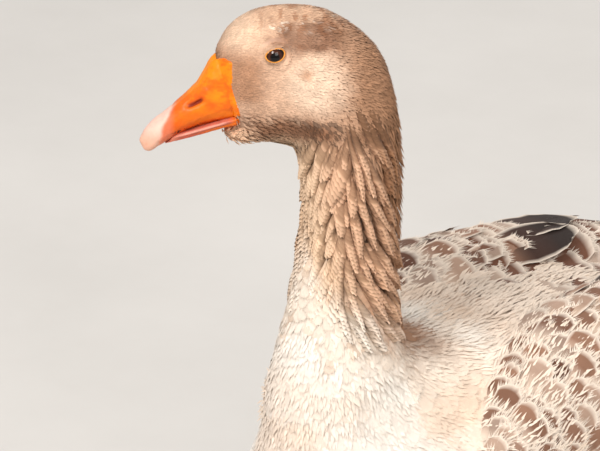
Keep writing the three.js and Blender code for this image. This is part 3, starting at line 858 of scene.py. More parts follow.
def lay_locks(coat, middles, length, width, height, exposure, teeth, skew):
    """Each lock is a ridge of short feathers that overlap like shingles, with a free tip."""
    t = np.array([0.0, 0.5, 0.75, 1.0])
    rows, columns = len(t), 9
    u = np.linspace(-1, 1, columns)
    faces = grid_triangles(rows, columns)
    patch = np.stack(np.meshgrid((u + 1) / 2, t), axis=-1).reshape(-1, 2)
    t = t[:, None]
    n_locks = len(middles)
    lengths = length * RNG.uniform(0.7, 1.25, n_locks)
    widths = width * RNG.uniform(0.8, 1.15, n_locks)
    tall = height * RNG.uniform(0.75, 1.1, n_locks)
    side = np.where(middles[:, 0] > 0, 1.0, -1.0)  # the way to the nape is +turn on the left
    lean = lock_lean(middles[:, 0], middles[:, 1]) + RNG.normal(0, 0.09, n_locks)
    bend = RNG.normal(0, 0.3, n_locks)
    for i in range(n_locks):
        along = np.arange(0, lengths[i] - exposure, exposure)
        share = along / lengths[i]
        n = len(along)
        taper = (0.6 + 0.4 * smooth(0, 0.35, share)) * mix(1, 0.42, smooth(0.62, 1, share))
        breadth = (widths[i] * taper)[:, None, None]
        rise = tall[i] * (0.3 + 0.7 * smooth(0, 0.55, share))
        bias = lean[i] + bend[i] * (share - 0.5)
        a0 = (np.cumsum(bias) - bias.sum() / 2) * exposure
        b0 = along - lengths[i] / 2
        jag = (RNG.uniform(-1, 1, (n, columns)) + np.where(np.arange(columns) % 2, 1, -1)) * teeth
        long = exposure * 2.0
        a = a0[:, None, None] + u * breadth / 2 + bias[:, None, None] * t * long
        hang = skew * side[i] * u * breadth / 2 - 0.45 * u**2 * exposure
        b = b0[:, None, None] + t * long + hang - bias[:, None, None] * u * breadth / 2
        b = b + (t == 1.0) * jag[:, None, :]
        dome = np.maximum(1 - np.abs(u) ** 2.4, 0) ** 0.55
        h = 0.1 + rise[:, None, None] * dome + t * LOCK_STEP * (0.3 + 0.7 * dome)
        z = middles[i, 1] - b
        turn = middles[i, 0] + neck_front(middles[i, 1]) + np.degrees(a / NECK_RADIUS)
        ground = NECK.place(turn[:, 0, columns // 2], z[:, 0, columns // 2], h[:, 0, 0])
        h = h * mix(0.5, 1.0, in_locks(ground))[:, None, None]
        verts = NECK.place(turn, z, h).reshape(n, -1, 3)
        root = verts[:, columns // 2]
        tone = markings(root, even(UP, n)) * RNG.uniform(0.93, 1.07, (n, 1))
        # painted shade: each feather darker at its covered root and towards the lock's sides, warmer where
        # darker, and a little lighter at the free tip
        shade = mix(0.52, 1.08, smooth(0.35, 0.8, t)) * (1 - 0.46 * np.abs(u) ** 3) + 0.1 * (t == 1.0)
        warmer_in_shade = np.array([1.0, 0.93, 0.86]) ** (2.2 * (1 - shade.reshape(-1, 1)))
        colours = tone[:, None, :] * shade.reshape(1, -1, 1) * warmer_in_shade
        vane = np.stack([a - a0[:, None, None] + 0 * b, b - b0[:, None, None]], axis=-1)
        coat.add(verts, faces, colours, vane.reshape(n, -1, 2), patch, root)


def lock_end(turn):
    return mix(440.0, 417.0, smooth(25, 65, turn))


def side_of_neck(turn, z):
    turn = np.abs(turn)
    high = mix(532.0, 558.0, smooth(60, 110, turn))
    return (turn > fork_spread(z) * 0.86) & (turn < 146) & (z > lock_end(turn)) & (z < high)


def middle_of_neck(turn, z):
    turn = np.abs(turn)
    fork = fork_spread(z)
    return (turn > fork * 0.34) & (turn < fork) & (z > lock_end(turn)) & (z < 526 + 0.1 * turn)


def front_of_neck(turn, z):
    return (np.abs(turn) <= fork_spread(z) * 0.42) & (z > 452) & (z < 530)


def in_neck_coat(points):
    return (points[:, 2] > 398) & (points[:, 2] < 575) & (to_head(points)[:, 2] < -36)


def add_neck_down(coat):
    """Short feathers between the locks, seen down in the slits."""
    roots, normals = scattered(SKIN, in_neck_coat, 2.1, 51)
    n = len(roots)
    ways = lie(roots, normals) + 0.15 * RNG.normal(size=(n, 3))
    turn = np.abs(neck_angle(roots))
    # painted shade: the down between the locks is darkened, down in the slits
    locks = smooth(15, 40, turn) * smooth(410, 430, roots[:, 2])
    tones = markings(roots, normals) * (mix(1.0, 0.42, locks) * RNG.uniform(0.9, 1.1, n))[:, None]
    lifts = (np.full(n, 0.0), np.full(n, 0.9), RNG.uniform(1.0, 1.8, n))
    add_kites(coat, roots, normals, ways, 5.4 * RNG.uniform(0.8, 1.2, n), np.full(n, 2.5), lifts, 0.5, tones)


def add_nape(coat):
    """Narrow hair-like feathers down the back of the head and neck."""

    def wanted(p):
        behind = np.abs(neck_angle(p)) > 112
        return behind & (p[:, 2] > 402) & (to_head(p)[:, 1] > 30) & (to_head(p)[:, 2] < 5)

    roots, normals = scattered(SKIN, wanted, 1.75, 52)
    n = len(roots)
    lower = smooth(570, 530, roots[:, 2])
    ways = lie(roots, normals) + 0.12 * RNG.normal(size=(n, 3))
    lengths = mix(6.0, 10.0, lower) * RNG.uniform(0.8, 1.25, n)
    tones = markings(roots, normals) * RNG.uniform(0.72, 1.2, (n, 1))
    high = mix(1.6, 4.6, lower) * RNG.uniform(0.75, 1.2, n)
    lifts = (0.1 * high, 0.6 * high, high)
    add_kites(coat, roots, normals, ways, lengths, mix(1.5, 2.0, lower), lifts, 0.5, tones, bow=0.15)


def add_neck_scales(coat):
    """Small flat feathers at the front of the neck's foot, where the locks end."""

    def wanted(p):
        turn = np.abs(neck_angle(p))
        return (p[:, 2] < 472 - 0.35 * turn) & (p[:, 2] > 396) & (p[:, 1] < NECK_Y + 60) & (turn < 140)

    roots, normals = scattered(SKIN, wanted, lambda p: mix(3.0, 3.8, smooth(460, 400, p[:, 2])), 53)
    add_contour(coat, roots, normals, 11.0, 7.0, (1.8, 2.6), barbs=2.6, columns=5, arch=0.06, barbs_each=3)


LOCK_BANDS = (
    # piece, where, seed, pitch round and down the neck, then what each lock has:
    # length, width, height, exposure of each feather, teeth and skew
    ("neck_locks", side_of_neck, 11, (9.2, 26.0), (35.0, 10.2, 7.2, 2.6, 0.5, 0.85)),
    ("neck_curls", middle_of_neck, 12, (6.3, 18.0), (24.0, 6.9, 5.6, 2.4, 0.42, 0.55)),
    ("neck_beads", front_of_neck, 13, (4.7, 11.0), (14.0, 4.8, 3.6, 2.3, 0.36, 0.25)),
)


def make_neck():
    broad_feathers = ("neck_locks", "neck_curls", "neck_beads", "neck_scales")
    fine_feathers = ("neck_down", "nape_tufts")
    coats = {name: Coat(name, "plumage_neck") for name in broad_feathers + fine_feathers}
    for name, where, seed, pitches, shape in LOCK_BANDS:
        lay_locks(coats[name], lock_middles(*pitches, where, seed), *shape)
    add_neck_down(coats["neck_down"])
    add_nape(coats["nape_tufts"])
    add_neck_scales(coats["neck_scales"])
    for name, coat in coats.items():
        coat.build(DOWN if name in fine_feathers else PLUMAGE)


# ---- Contour feathers and quills -------------------------------------------------------------


def make_node_tree():
    verts, faces, owner, start = [], [], [], 0
    for k, node in enumerate(FLESH):
        v, f = mesh_arrays(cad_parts[node].data)
        verts.append(v)
        faces.append(f + start)
        owner += [k] * len(f)
        start += len(v)
    tree = BVHTree.FromPolygons(np.concatenate(verts).tolist(), np.concatenate(faces).tolist())
    return tree, np.array(owner)


NODE_TREE, FACE_NODE = make_node_tree()


def nodes_at(points):
    """The name of the CAD node nearest to each point."""
    return np.array(FLESH)[[FACE_NODE[NODE_TREE.find_nearest(Vector(p))[2]] for p in points]]


def lie(points, normals):
    """The way that the feathers lie: tailwards, and downwards too on the trunk's sides."""
    station = along_body(points)
    down = 0.6 * smooth(4.4, 6.0, station) * smooth(10, 8, station) * np.abs(normals[:, 0])
    ways = read_at(CENTRE_ALONG, station) - down[:, None] * UP
    return laid(ways, normals)


def spines(roots, normals, ways, lengths, steps):
    """Each feather's shaft, dropped on the skin step by step: places, normals and ways."""
    places, ups, alongs = [roots], [normals], [ways]
    for step in np.diff(steps):
        near, up = SKIN.nearest(places[-1] + alongs[-1] * (lengths * step)[:, None])
        way = near - places[-1]
        way = unit(way - up * (way * up).sum(1, keepdims=True) + 1e-6 * alongs[-1])
        way = unit(mix(alongs[-1], way, 0.6))
        up = unit(mix(ups[-1], up, 0.8))
        places.append(near)
        ups.append(up)
        alongs.append(laid(way, up))
    return (np.stack(parts, axis=1) for parts in (places, ups, alongs))


def add_vanes(
    coat, roots, normals, ways, lengths, widths, paint, steps=(0, 0.3, 0.6, 0.85, 1.0), columns=7,
    lift=(0.8, 4.5), arch=0.12, round_tip=0.32, narrow=0.75, tapered=0.0, frayed=0.02, **barb_options,
):
    """Feathers with a shaft, a rounded tip and loose barbs at the edge.

    paint(u, t) gives their colours, from their place across (-1 to 1) and along (0 to 1).
    """
    steps = np.asarray(steps)
    n, rows = len(roots), len(steps)
    places, ups, alongs = spines(roots, normals, ways, lengths, steps)
    sides = np.cross(alongs, ups)
    u = np.linspace(-1, 1, columns)
    u = np.sign(u) * np.abs(u) ** 0.85
    length, width = lengths[:, None, None], widths[:, None, None]
    t = steps[None, :, None]
    breadth = narrow + (1 - narrow) * smooth(0, 0.55, t)
    breadth = breadth * (1 - tapered * np.clip((t - 0.6) / 0.4, 0, 1) ** 2.5)
    setback = round_tip * width * (np.abs(u) ** 2.2) * t**3
    fray = frayed * length * RNG.normal(size=(n, 1, columns)) * (t > 0.95)
    across = u * breadth * width / 2
    back = setback - fray
    low, high = lift
    if np.ndim(high):
        high = np.asarray(high)[:, None, None]
    height = low + (high - low) * t**1.15 + arch * width * (1 - u**2) * (1 - 0.5 * t)
    verts = places[:, :, None] + sides[:, :, None] * across[..., None]
    verts = verts + ups[:, :, None] * height[..., None] - alongs[:, :, None] * back[..., None]
    shape = (n, rows, columns)
    colours = paint(np.broadcast_to(u, shape), np.broadcast_to(t, shape))
    vane = np.stack([across + 0 * back, t * length - back], axis=-1)
    patch = np.stack(np.broadcast_arrays((u + 1)[None, :] / 2, steps[:, None]), axis=-1).reshape(-1, 2)
    flat_verts, flat_colours, flat_vane = (a.reshape(n, rows * columns, -1) for a in (verts, colours, vane))
    coat.add(flat_verts, grid_triangles(rows, columns), flat_colours, flat_vane, patch, roots)
    if barb_options.get("barbs"):
        ends = alongs[:, -1], sides[:, -1], ups[:, -1]
        add_barbs(coat, roots, verts[:, -1], colours[:, -1], vane[:, -1], *ends, **barb_options)


BARB_FOOT_SUNK = 0.8  # how far each barb's foot starts before the vane's edge


def add_barbs(
    coat, roots, edge, edge_colours, edge_vane, ways, sides, ups, barbs, barbs_each=2, fan=0.5,
    barb_tint=1.05,
):
    """Hair-like barbs that stand free of each feather's edge, barbs_each to a column of the vane."""
    n, columns = edge.shape[:2]
    shape = (n, columns - 1, 1)
    for k in range(barbs_each):
        a, b = (k + 0.1) / barbs_each, (k + 0.9) / barbs_each
        first = mix(edge[:, :-1], edge[:, 1:], a)
        second = mix(edge[:, :-1], edge[:, 1:], b)
        u = (np.arange(columns - 1) + (a + b) / 2) / (columns - 1) * 2 - 1
        reach = barbs * RNG.uniform(0.4, 1.2, shape) * (1 - 0.35 * np.abs(u))[None, :, None]
        aside = fan * u[None, :, None] + 0.22 * RNG.normal(size=shape)
        way = ways[:, None] + sides[:, None] * aside
        rise = RNG.normal(0.04, 0.08, shape)
        tip = (first + second) / 2 + (unit(way) + ups[:, None] * rise) * reach
        sunk = ways[:, None] * -BARB_FOOT_SUNK
        points = np.stack([first + sunk, second + sunk, tip], axis=2).reshape(-1, 3, 3)
        tone = mix(edge_colours[:, :-1], edge_colours[:, 1:], 0.5)[:, :, None] * [[1.0], [1.0], [barb_tint]]
        where = mix(edge_vane[:, :-1], edge_vane[:, 1:], 0.5)[:, :, None]
        where = where + [[-0.3, 0], [0.3, 0], [0, 3.0]]
        patch = np.array([[0.4, 0.9], [0.6, 0.9], [0.5, 1.0]])
        owner = np.repeat(roots, columns - 1, axis=0)
        face = np.array([[0, 1, 2]])
        coat.add(points, face, tone.reshape(-1, 3, 3), where.reshape(-1, 3, 2), patch, owner)


def plain_paint(tones, fringe=1.05, base=0.92, edge=0.0):
    """One tone, with painted shade where the next feather covers it and, by edge, towards the sides, and a
    little lighter at the tip.
    """

    def paint(u, t):
        shade = base + (1 - base) * smooth(0.1, 0.6, t) + (fringe - 1) * smooth(0.7, 1, t)
        shade = shade - edge * np.abs(u) ** 3
        return tones[:, None, None] * shade[..., None]

    return paint


def marked_paint(base, centre, fringe, fringe_width=0.3, tip=None, tip_from=0.6):
    """A dark centre inside a pale fringe, and a paler root. tip darkens the last part of the centre."""

    def paint(u, t):
        inside = np.maximum(np.abs(u) ** 1.6, smooth(1 - 1.6 * fringe_width, 1, t) ** 1.4)
        middle = np.broadcast_to(centre[:, None, None], (*u.shape, 3))
        if tip is not None:
            middle = mix(middle, tip[:, None, None], smooth(tip_from, min(tip_from + 0.2, 1), t))
        c = mix(base[:, None, None], middle, smooth(0.15, 0.45, t))
        return mix(c, fringe[:, None, None], smooth(1 - fringe_width, 1 - 0.3 * fringe_width, inside))

    return paint


def add_contour(coat, roots, normals, length, width, lift, **shape):
    n = len(roots)
    ways = unit(lie(roots, normals) + 0.06 * RNG.normal(size=(n, 3)))
    ways = laid(ways, normals)
    at_shank = smooth(190, 140, roots[:, 2])
    lengths = length * RNG.uniform(0.88, 1.12, n) * (1 - 0.5 * at_shank)
    widths = width * RNG.uniform(0.9, 1.1, n) * (1 - 0.35 * at_shank)
    tones = markings(roots, normals) * RNG.uniform(0.955, 1.045, (n, 1))
    high = lift[1] * RNG.uniform(0.8, 1.15, n)
    add_vanes(coat, roots, normals, ways, lengths, widths, plain_paint(tones), lift=(lift[0], high), **shape)


TRUNK_TOP = 425.0  # above this height the neck's own feathers take over


def off_wings(points):
    names = nodes_at(points)
    return ~np.char.startswith(names, "wing_") & (names != "tail")


def body_roots(spacing, seed, wanted):
    roots, normals = scattered(SKIN, lambda p: wanted(p) & (p[:, 2] < TRUNK_TOP), spacing, seed)
    keep = off_wings(roots)
    return roots[keep], normals[keep]


def add_body_tufts(coat, where, spacing, length, width, lift, seed):
    """Loose hair-like tufts over the body's feathers, which hide their edges."""

    def wanted(p):
        return where(p) & off_wings(p) & (p[:, 2] < TRUNK_TOP)

    roots, normals = scattered(SKIN, wanted, spacing, seed)
    n = len(roots)
    ways = unit(lie(roots, normals) + 0.16 * RNG.normal(size=(n, 3)))
    streaks = noise(roots * [1.0, 0.35, 0.35], 5.0, seed)
    tones = markings(roots, normals) * (RNG.uniform(0.95, 1.05, n) * (0.92 + 0.16 * streaks))[:, None]
    lengths = length * RNG.uniform(0.75, 1.25, n)
    high = lift * RNG.uniform(0.8, 1.15, n)
    x, y, z = np.abs(roots[:, 0]), roots[:, 1] - NECK_Y, roots[:, 2]
    on_scapulars = smooth(95, 120, y) * smooth(60, 45, x) * smooth(340, 350, z)
    clumps = smooth(0.42, 0.52, noise(roots, 14.0, 36) + 0.25 * smooth(190, 110, y) - 0.1)
    high = high + 3.0 * on_scapulars * clumps
    tones = mix(tones, CREAM[None], 0.5 * on_scapulars * clumps)
    lifts = (0.5 * high, 0.88 * high, high)
    widths = np.full(n, width)
    add_kites(coat, roots, normals, ways, lengths, widths, lifts, 0.08, tones, bow=0.1, root_shade=0.99)


def at_front(points):
    return (points[:, 1] < NECK_Y + 55) & (points[:, 2] > 225)


def at_shoulders(points):
    return ~at_front(points) & (points[:, 2] > 300)


def at_belly(points):
    return ~at_front(points) & ~at_shoulders(points)


def make_body():
    """Breast, back, flanks, belly and thighs."""
    for name, where, spacing, size, seed, barbs, slot in (
        ("breast_feathers", at_front, 5.0, (16, 12), 31, 3.4, "plumage_breast"),
        ("back_feathers", at_shoulders, 6.2, (26, 14), 32, 7.0, "plumage_body"),
        ("belly_feathers", at_belly, 9.0, (30, 19), 33, 3.0, "plumage_body"),
    ):
        coat = Coat(name, slot)
        roots, normals = body_roots(spacing, seed, where)
        add_contour(coat, roots, normals, *size, (1.6, 2.4), barbs=barbs, barbs_each=3, arch=0.06)
        coat.build(PLUMAGE)
    for name, where, shape, seed, slot in (
        # shape: spacing, length, width and lift
        ("breast_tufts", at_front, (2.0, 8.5, 2.4, 3.3), 34, "plumage_breast"),
        ("back_tufts", at_shoulders, (2.0, 12.0, 2.2, 3.9), 35, "plumage_body"),
    ):
        coat = Coat(name, slot)
        add_body_tufts(coat, where, *shape, seed)
        coat.build(DOWN)


# ---- Wings and tail --------------------------------------------------------------------------

# Along each wing, from its shoulder to its tip: the middle of its cross-section.
WING_Y = np.array([20, 120, 240, 340, 440.0])
WING_X = np.array([66, 62, 60, 44, 20.0])
WING_Z = np.array([318, 300, 306, 303, 303.0])


def wing_places(side, y, angle):
    """Places on the wing's outside at these distances behind the neck's axis and angles above level."""
    a = np.radians(angle)
    x = np.interp(y, WING_Y, WING_X)
    z = np.interp(y, WING_Y, WING_Z)
    starts = np.stack([x * side, y + NECK_Y, z], axis=1)
    ways = np.stack([np.cos(a) * side, 0 * a, np.sin(a)], axis=1)
    places, normals, hit = SKIN.cast(starts, ways)
    return places, normals, hit


def wing_ways(side, normals, droop):
    drop = np.reshape(droop, (-1, 1)) * np.clip(np.abs(normals[:, :1]), 0, 1)
    ways = BACK * 1.0 - UP * drop - LEFT * side * 0.12
    return laid(ways, normals)


# The coverts' lengths and widths at these distances behind the neck's axis.
COVERT_Y = (14, 90, 200, 330)
COVERT_LENGTHS = (20, 30, 44, 58)
COVERT_WIDTHS = (14, 21, 27, 29)


def covert_ways(side, normals, y):
    """The coverts rise at the shoulder and droop further back."""
    return wing_ways(side, normals, mix(-0.45, 0.25, smooth(110, 240, y)))


def make_wing(name, side):
    """Coverts over the folded wing, with loose tufts and quills."""
    coat = Coat(f"{name}_wing_coverts", "plumage_wing")
    rows = np.concatenate([np.arange(8, 50, 9.0), np.arange(50, 210, 12.0), np.arange(212, 330, 15.0)])
    ys, angles = [], []
    for k, y in enumerate(rows):
        pitch = np.interp(y, [20, 60, 120, 330], [11, 13.5, 14.5, 15])
        across = np.arange(-75, 128, pitch) + (k % 2) * pitch / 2
        ys += [y + RNG.uniform(-2.5, 2.5) for _ in across]
        angles += list(across + RNG.uniform(-2, 2, len(across)))
    y, angle = np.array(ys), np.array(angles)
    places, normals, hit = wing_places(side, y, angle)
    names = nodes_at(places)
    under_quills = (angle > 48) & (y > 195 + 0.5 * (104 - angle))
    keep = hit & np.char.startswith(names, "wing_") & ~under_quills
    places, normals, y, angle = places[keep], normals[keep], y[keep], angle[keep]
    n = len(places)
    ways = covert_ways(side, normals, y)
    lengths = np.interp(y, COVERT_Y, COVERT_LENGTHS) * RNG.uniform(0.85, 1.12, n)
    widths = np.interp(y, COVERT_Y, COVERT_WIDTHS) * RNG.uniform(0.85, 1.12, n)
    pale = markings(places, normals) * RNG.uniform(0.95, 1.04, (n, 1))
    brown = mix(WING_PALE_BROWN[None], WING_DARK_BROWN[None], RNG.uniform(0, 1, n) ** 1.3)
    dark = smooth(6, 40, y) * RNG.choice([0.7, 1.0], n, p=[0.3, 0.7]) * smooth(130, 105, angle)
    centre = mix(pale, brown, dark)
    fringe = even(CREAM, n) * RNG.uniform(0.95, 1.05, (n, 1))
    paint = marked_paint(pale, centre, fringe, 0.16)
    add_vanes(
        coat, places, normals, ways, lengths, widths, paint,
        lift=(1.0, 4.4 * RNG.uniform(0.7, 1.15, n)), columns=11, barbs=7.0, barbs_each=3, barb_tint=1.06,
        fan=0.7, frayed=0.03,
    )
    loose = Coat(f"{name}_wing_tufts", "plumage_wing")
    add_wing_tufts(loose, side)
    quills = Coat(f"{name}_wing_quills", "plumage_wing")
    add_quills(quills, side)
    coat.build(PLUMAGE)
    loose.build(DOWN)
    quills.build(PLUMAGE)


def add_wing_tufts(coat, side):
    """Pale hair-like barbs in clumps, lying over the coverts."""

    def wanted(p):
        names = nodes_at(p)
        y = p[:, 1] - NECK_Y
        top_side = smooth(318, 335, p[:, 2])
        top = top_side * smooth(160, 120, y)
        clumps = noise(p * [1, 1, 1.3], 11.0, 41) + 0.6 * smooth(60, 25, y) + 0.4 * top
        on_wing = np.char.startswith(names, "wing_") & (p[:, 0] * side > 0)
        return on_wing & (y < 235 - 70 * top_side) & (clumps > 0.6)

    roots, normals = scattered(SKIN, wanted, 2.3, 42)
    y = roots[:, 1] - NECK_Y
    n = len(roots)
    ways = covert_ways(side, normals, y)
    ways = unit(mix(lie(roots, normals), ways, smooth(15, 60, y)) + 0.2 * RNG.normal(size=(n, 3)))
    tones = mix(CREAM[None], markings(roots, normals), RNG.uniform(0.2, 0.7, n))
    tones = tones * RNG.uniform(0.96, 1.06, (n, 1))
    high = RNG.uniform(3.8, 5.4, n)
    lifts = (0.55 * high, 0.9 * high, high)
    lengths = RNG.uniform(8, 14, n)
    widths = np.full(n, 1.5)
    add_kites(coat, roots, normals, ways, lengths, widths, lifts, 0.2, tones, bow=0.15, root_shade=0.94)


# From the tertials over the back, down the secondaries, to the primaries at the wing's tip.
QUILL_GROUPS = (
    # count, distances behind the neck, angles, length, width, lift, fringe, centre, tip
    (5, (168, 232), (104, 50), (92, 104), (34, 32), 8.5, 0.04, TERTIAL_DARK, QUILL_BLACK),
    (6, (225, 300), (100, 20), (118, 104), (33, 29), 5.5, 0.07, WING_BROWN, TERTIAL_DARK),
    (8, (250, 330), (10, -48), (108, 92), (25, 22), 3.6, 0.11, WING_PALE_BROWN, WING_BROWN),
    (6, (335, 372), (60, -40), (100, 84), (16, 12), 1.8, 0.05, TERTIAL_DARK, QUILL_BLACK),
)


def add_quills(coat, side):
    """Tertials over the back, secondaries below them, and primaries to the wing's tip."""
    for count, ys, angles, lengths, widths, lift, edge, centre, tip in QUILL_GROUPS:
        share = np.linspace(0, 1, count)
        y, angle = mix(ys[0], ys[1], share), mix(angles[0], angles[1], share)
        places, normals, hit = wing_places(side, y, angle)
        places, normals, share = places[hit], normals[hit], share[hit]
        n = len(places)
        ways = wing_ways(side, normals, 0.10)
        base = even(WING_PALE_BROWN, n)
        fringe = even(CREAM, n)
        paint = marked_paint(base, even(centre, n), fringe, edge, even(tip, n), 0.55)
        add_vanes(
            coat, places, normals, ways, mix(lengths[0], lengths[1], share), mix(widths[0], widths[1], share),
            paint, steps=np.linspace(0, 1, 12), columns=11, lift=(1.0, lift + 1.6 * (1 - share)),
            arch=0.05, round_tip=0.45, frayed=0.004, narrow=0.6, tapered=0.45,
        )


ABOVE_BACK = 450.0  # a height over the whole back, to drop the scapulars from


def make_scapulars():
    """Broad pale-edged feathers on the back, between the wings."""
    coat = Coat("scapular_feathers", "plumage_wing")
    y, x = np.meshgrid(np.arange(112, 300, 16.0), np.array([-46, -34, -22, -11, 0, 11, 22, 34, 46.0]))
    y = y.ravel() + RNG.uniform(-5, 5, y.size)
    x = x.ravel() + RNG.uniform(-3, 3, x.size)
    starts = np.stack([x, y + NECK_Y, np.full(x.size, ABOVE_BACK)], axis=1)
    places, normals, hit = SKIN.cast(starts, even(-UP, x.size))
    places, normals, y = places[hit], normals[hit], y[hit]
    n = len(places)
    ways = BACK + 0.004 * places[:, :1] * LEFT + 0.05 * RNG.normal(size=(n, 3))
    ways = laid(ways, normals)
    pale = markings(places, normals)
    size = np.interp(y, [105, 190], [34, 50])
    dark = smooth(95, 125, y) * RNG.choice([0.45, 1.0], n, p=[0.35, 0.65])
    centre = mix(pale, even(WING_BROWN, n), dark)
    paint = marked_paint(pale, centre, even(CREAM, n), 0.15)
    add_vanes(
        coat, places, normals, ways, size * RNG.uniform(0.88, 1.12, n), size * RNG.uniform(0.46, 0.6, n),
        paint, steps=np.linspace(0, 1, 7), columns=13, lift=(0.2, size * RNG.uniform(0.085, 0.115, n)),
        barbs=6.5, barbs_each=3,
    )
    coat.build(PLUMAGE)


TAIL_BACK = 368.0  # where the tail's quills start, behind the neck's axis
TAIL_LENGTH = 98.0
TAIL_HALF_WIDTH = 44.0  # to the outermost quill
TAIL_HEIGHT = 296.0  # of the tail's middle layer


def make_tail():
    """The tail's quills and coverts. Where the folded wing tips lie above the tail, the rays for
    the upper quills start inside those tips, so these quills sit on the wings: a known fault.
    """
    coat = Coat("tail_feathers", "plumage_tail")
    for face, count, lift in ((1.0, 13, 1.8), (-1.0, 13, 1.2)):
        share = np.linspace(-1, 1, count)
        x = share * TAIL_HALF_WIDTH
        starts = np.stack([x, NECK_Y + TAIL_BACK + 6 * share**2, np.full(count, TAIL_HEIGHT)], axis=1)
        places, normals, hit = SKIN.cast(starts, even(UP * face, count))
        places, normals, share = places[hit], normals[hit], share[hit]
        n = len(places)
        ways = np.stack([share * 0.20, np.ones(n), 0 * share], axis=1)
        ways = laid(ways, normals)
        base, fringe = even(WHITE, n), even(WHITE, n)
        centre = even(WING_PALE_BROWN, n)
        paint = marked_paint(base, centre, fringe, 0.30)
        lengths = TAIL_LENGTH * (1 - 0.10 * share**2)
        add_vanes(
            coat, places, normals, ways, lengths, np.full(n, 19.0), paint,
            steps=np.linspace(0, 1, 9), columns=9, lift=(0.8, lift + (1 - np.abs(share))),
            arch=0.03, round_tip=0.5, frayed=0.003, narrow=0.7,
        )
    roots, normals = scattered(SKIN, lambda p: p[:, 1] > NECK_Y + 300, 9.0, 41)
    names = nodes_at(roots)
    keep = (names == "tail") & (roots[:, 1] < NECK_Y + TAIL_BACK + 40)
    roots, normals = roots[keep], normals[keep]
    tones = even(WHITE, len(roots)) * RNG.uniform(0.94, 1.0, (len(roots), 1))
    n = len(roots)
    ways = unit(lie(roots, normals))
    add_vanes(
        coat, roots, normals, ways, np.full(n, 36.0), np.full(n, 17.0), plain_paint(tones),
        lift=(0.8, 3.2), barbs=3.0,
    )
    coat.build(PLUMAGE)


# ---- Bill ------------------------------------------------------------------------------------

BILL_ORANGE = colour(218, 100, 0)
BILL_YELLOW = colour(234, 134, 0)
BILL_RED = colour(204, 66, 8)
NAIL_PINK = colour(228, 188, 172)
MOUTH_PINK = colour(182, 96, 78)
# The nail's back edge, in the head's frame: how far forward it is, and how it slants with height.
NAIL_EDGE_Y, NAIL_EDGE_Z, NAIL_EDGE_SLANT = -62.1, -38.6, 0.353
NOSTRIL = np.array([12.0, -46.6, -30.6])  # the left one's middle, in the head's frame
NOSTRIL_HALF_LENGTH, NOSTRIL_WIDTH, NOSTRIL_DEPTH = 5.4, 1.7, 2.4
NOSTRIL_WAY = unit(np.array([0.0, 6.8, 3.3]))


def painted(name, verts, faces, tones, material, nodes):
    obj = new_object(name, verts, faces)
    paint_points(obj.data, "paint", tones)
    obj.data.materials.append(material)
    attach(obj, "root")
    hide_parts(*nodes)


def some_faces(faces, keep):
    """The points that the kept faces use, and those faces on these points alone."""
    used, index = np.unique(faces[keep], return_inverse=True)
    return used, index.reshape(-1, faces.shape[1])


def horn_material(name, roughness, grain_scale, bump_strength):
    shader = Shader(name, Roughness=roughness, Specular_IOR_Level=0.3)
    shader.main.inputs["Subsurface Weight"].default_value = 0.06
    shader.main.inputs["Subsurface Radius"].default_value = (0.004, 0.002, 0.001)
    paint = shader.attribute("paint")
    mottle = shader.ramp(shader.noise(grain_scale, 5.0), 0.3, 0.7, grey(0.86), grey(1.0))
    fine = shader.noise(grain_scale * 7, 4.0)
    shader.feed("Base Color", shader.multiply(paint, mottle))
    gloss = shader.node("MapRange")
    shader.link(fine, gloss.inputs["Value"])
    gloss.inputs["To Min"].default_value = roughness - 0.08
    gloss.inputs["To Max"].default_value = roughness + 0.12
    shader.feed("Roughness", gloss.outputs["Result"])
    shader.bump(fine, bump_strength, 0.0002)
    return shader.material


def behind_nail(h):
    """How far each place is behind the nail's edge, which bows back at the bill's middle."""
    edge = NAIL_EDGE_Y + NAIL_EDGE_SLANT * (h[:, 2] - NAIL_EDGE_Z) + 0.018 * (70 - h[:, 0] ** 2)
    return h[:, 1] - edge


def nostril_depth(h):
    """How deep the nostrils are cut, on both sides."""
    gap = np.stack([np.abs(h[:, 0]), h[:, 1], h[:, 2]], axis=1) - NOSTRIL
    along = gap @ NOSTRIL_WAY
    across = gap[:, 1] * -NOSTRIL_WAY[2] + gap[:, 2] * NOSTRIL_WAY[1]
    length = np.exp(-((along / NOSTRIL_HALF_LENGTH) ** 4))
    side = smooth(4, 8, np.abs(h[:, 0]))
    slit = np.exp(-((across / NOSTRIL_WIDTH) ** 2)) * length * side
    hollow = np.exp(-((across / 3.6) ** 2) - ((along / 6.5) ** 2)) * side
    return slit, hollow


def cutting_edge(y):
    """The height of the upper bill's lower edge."""
    return CUTTING_EDGE_Z + CUTTING_EDGE_RISE * (y - CUTTING_EDGE_Y)


def mandible_edge(y):
    """The height of the lower mandible's lower edge."""
    return MANDIBLE_EDGE_Z + MANDIBLE_EDGE_RISE * (y - MANDIBLE_EDGE_Y)


def feather_edge(h):
    """How far forward the feathers reach at the bill's base, in the head's frame."""
    x, z = np.abs(h[:, 0]), h[:, 2]
    upper = mix(-36.0, -25.0, smooth(5.0, 13.0, x)) + 4.6 * smooth(-18, -39, z)
    upper = upper - 7.0 * smooth(-5.8, -2.6, z) * smooth(3, 7, x)
    lower = mix(-31.0, -20.0, smooth(4, 11, x))
    return mix(upper, lower, smooth(-38, -41, z))


BILL_TUCK = 2.6  # how far the bill's horn runs on under the feathers
CUTTING_EDGE_Y, CUTTING_EDGE_Z, CUTTING_EDGE_RISE = -28.6, -39.8, 0.35
MANDIBLE_EDGE_Y, MANDIBLE_EDGE_Z, MANDIBLE_EDGE_RISE = -20.9, -43.7, 0.32


# The solid mandible's lower edge and its top, which make_lower_bill draws up to the edges above.
SOLID_BOTTOM_Y, SOLID_BOTTOM_Z, SOLID_BOTTOM_RISE = -22, -50.6, 0.21
SOLID_TOP_Y = (-60, -50, -40, -32, -22)
SOLID_TOP_Z = (-55.8, -50.5, -47.0, -45.1, -44.0)


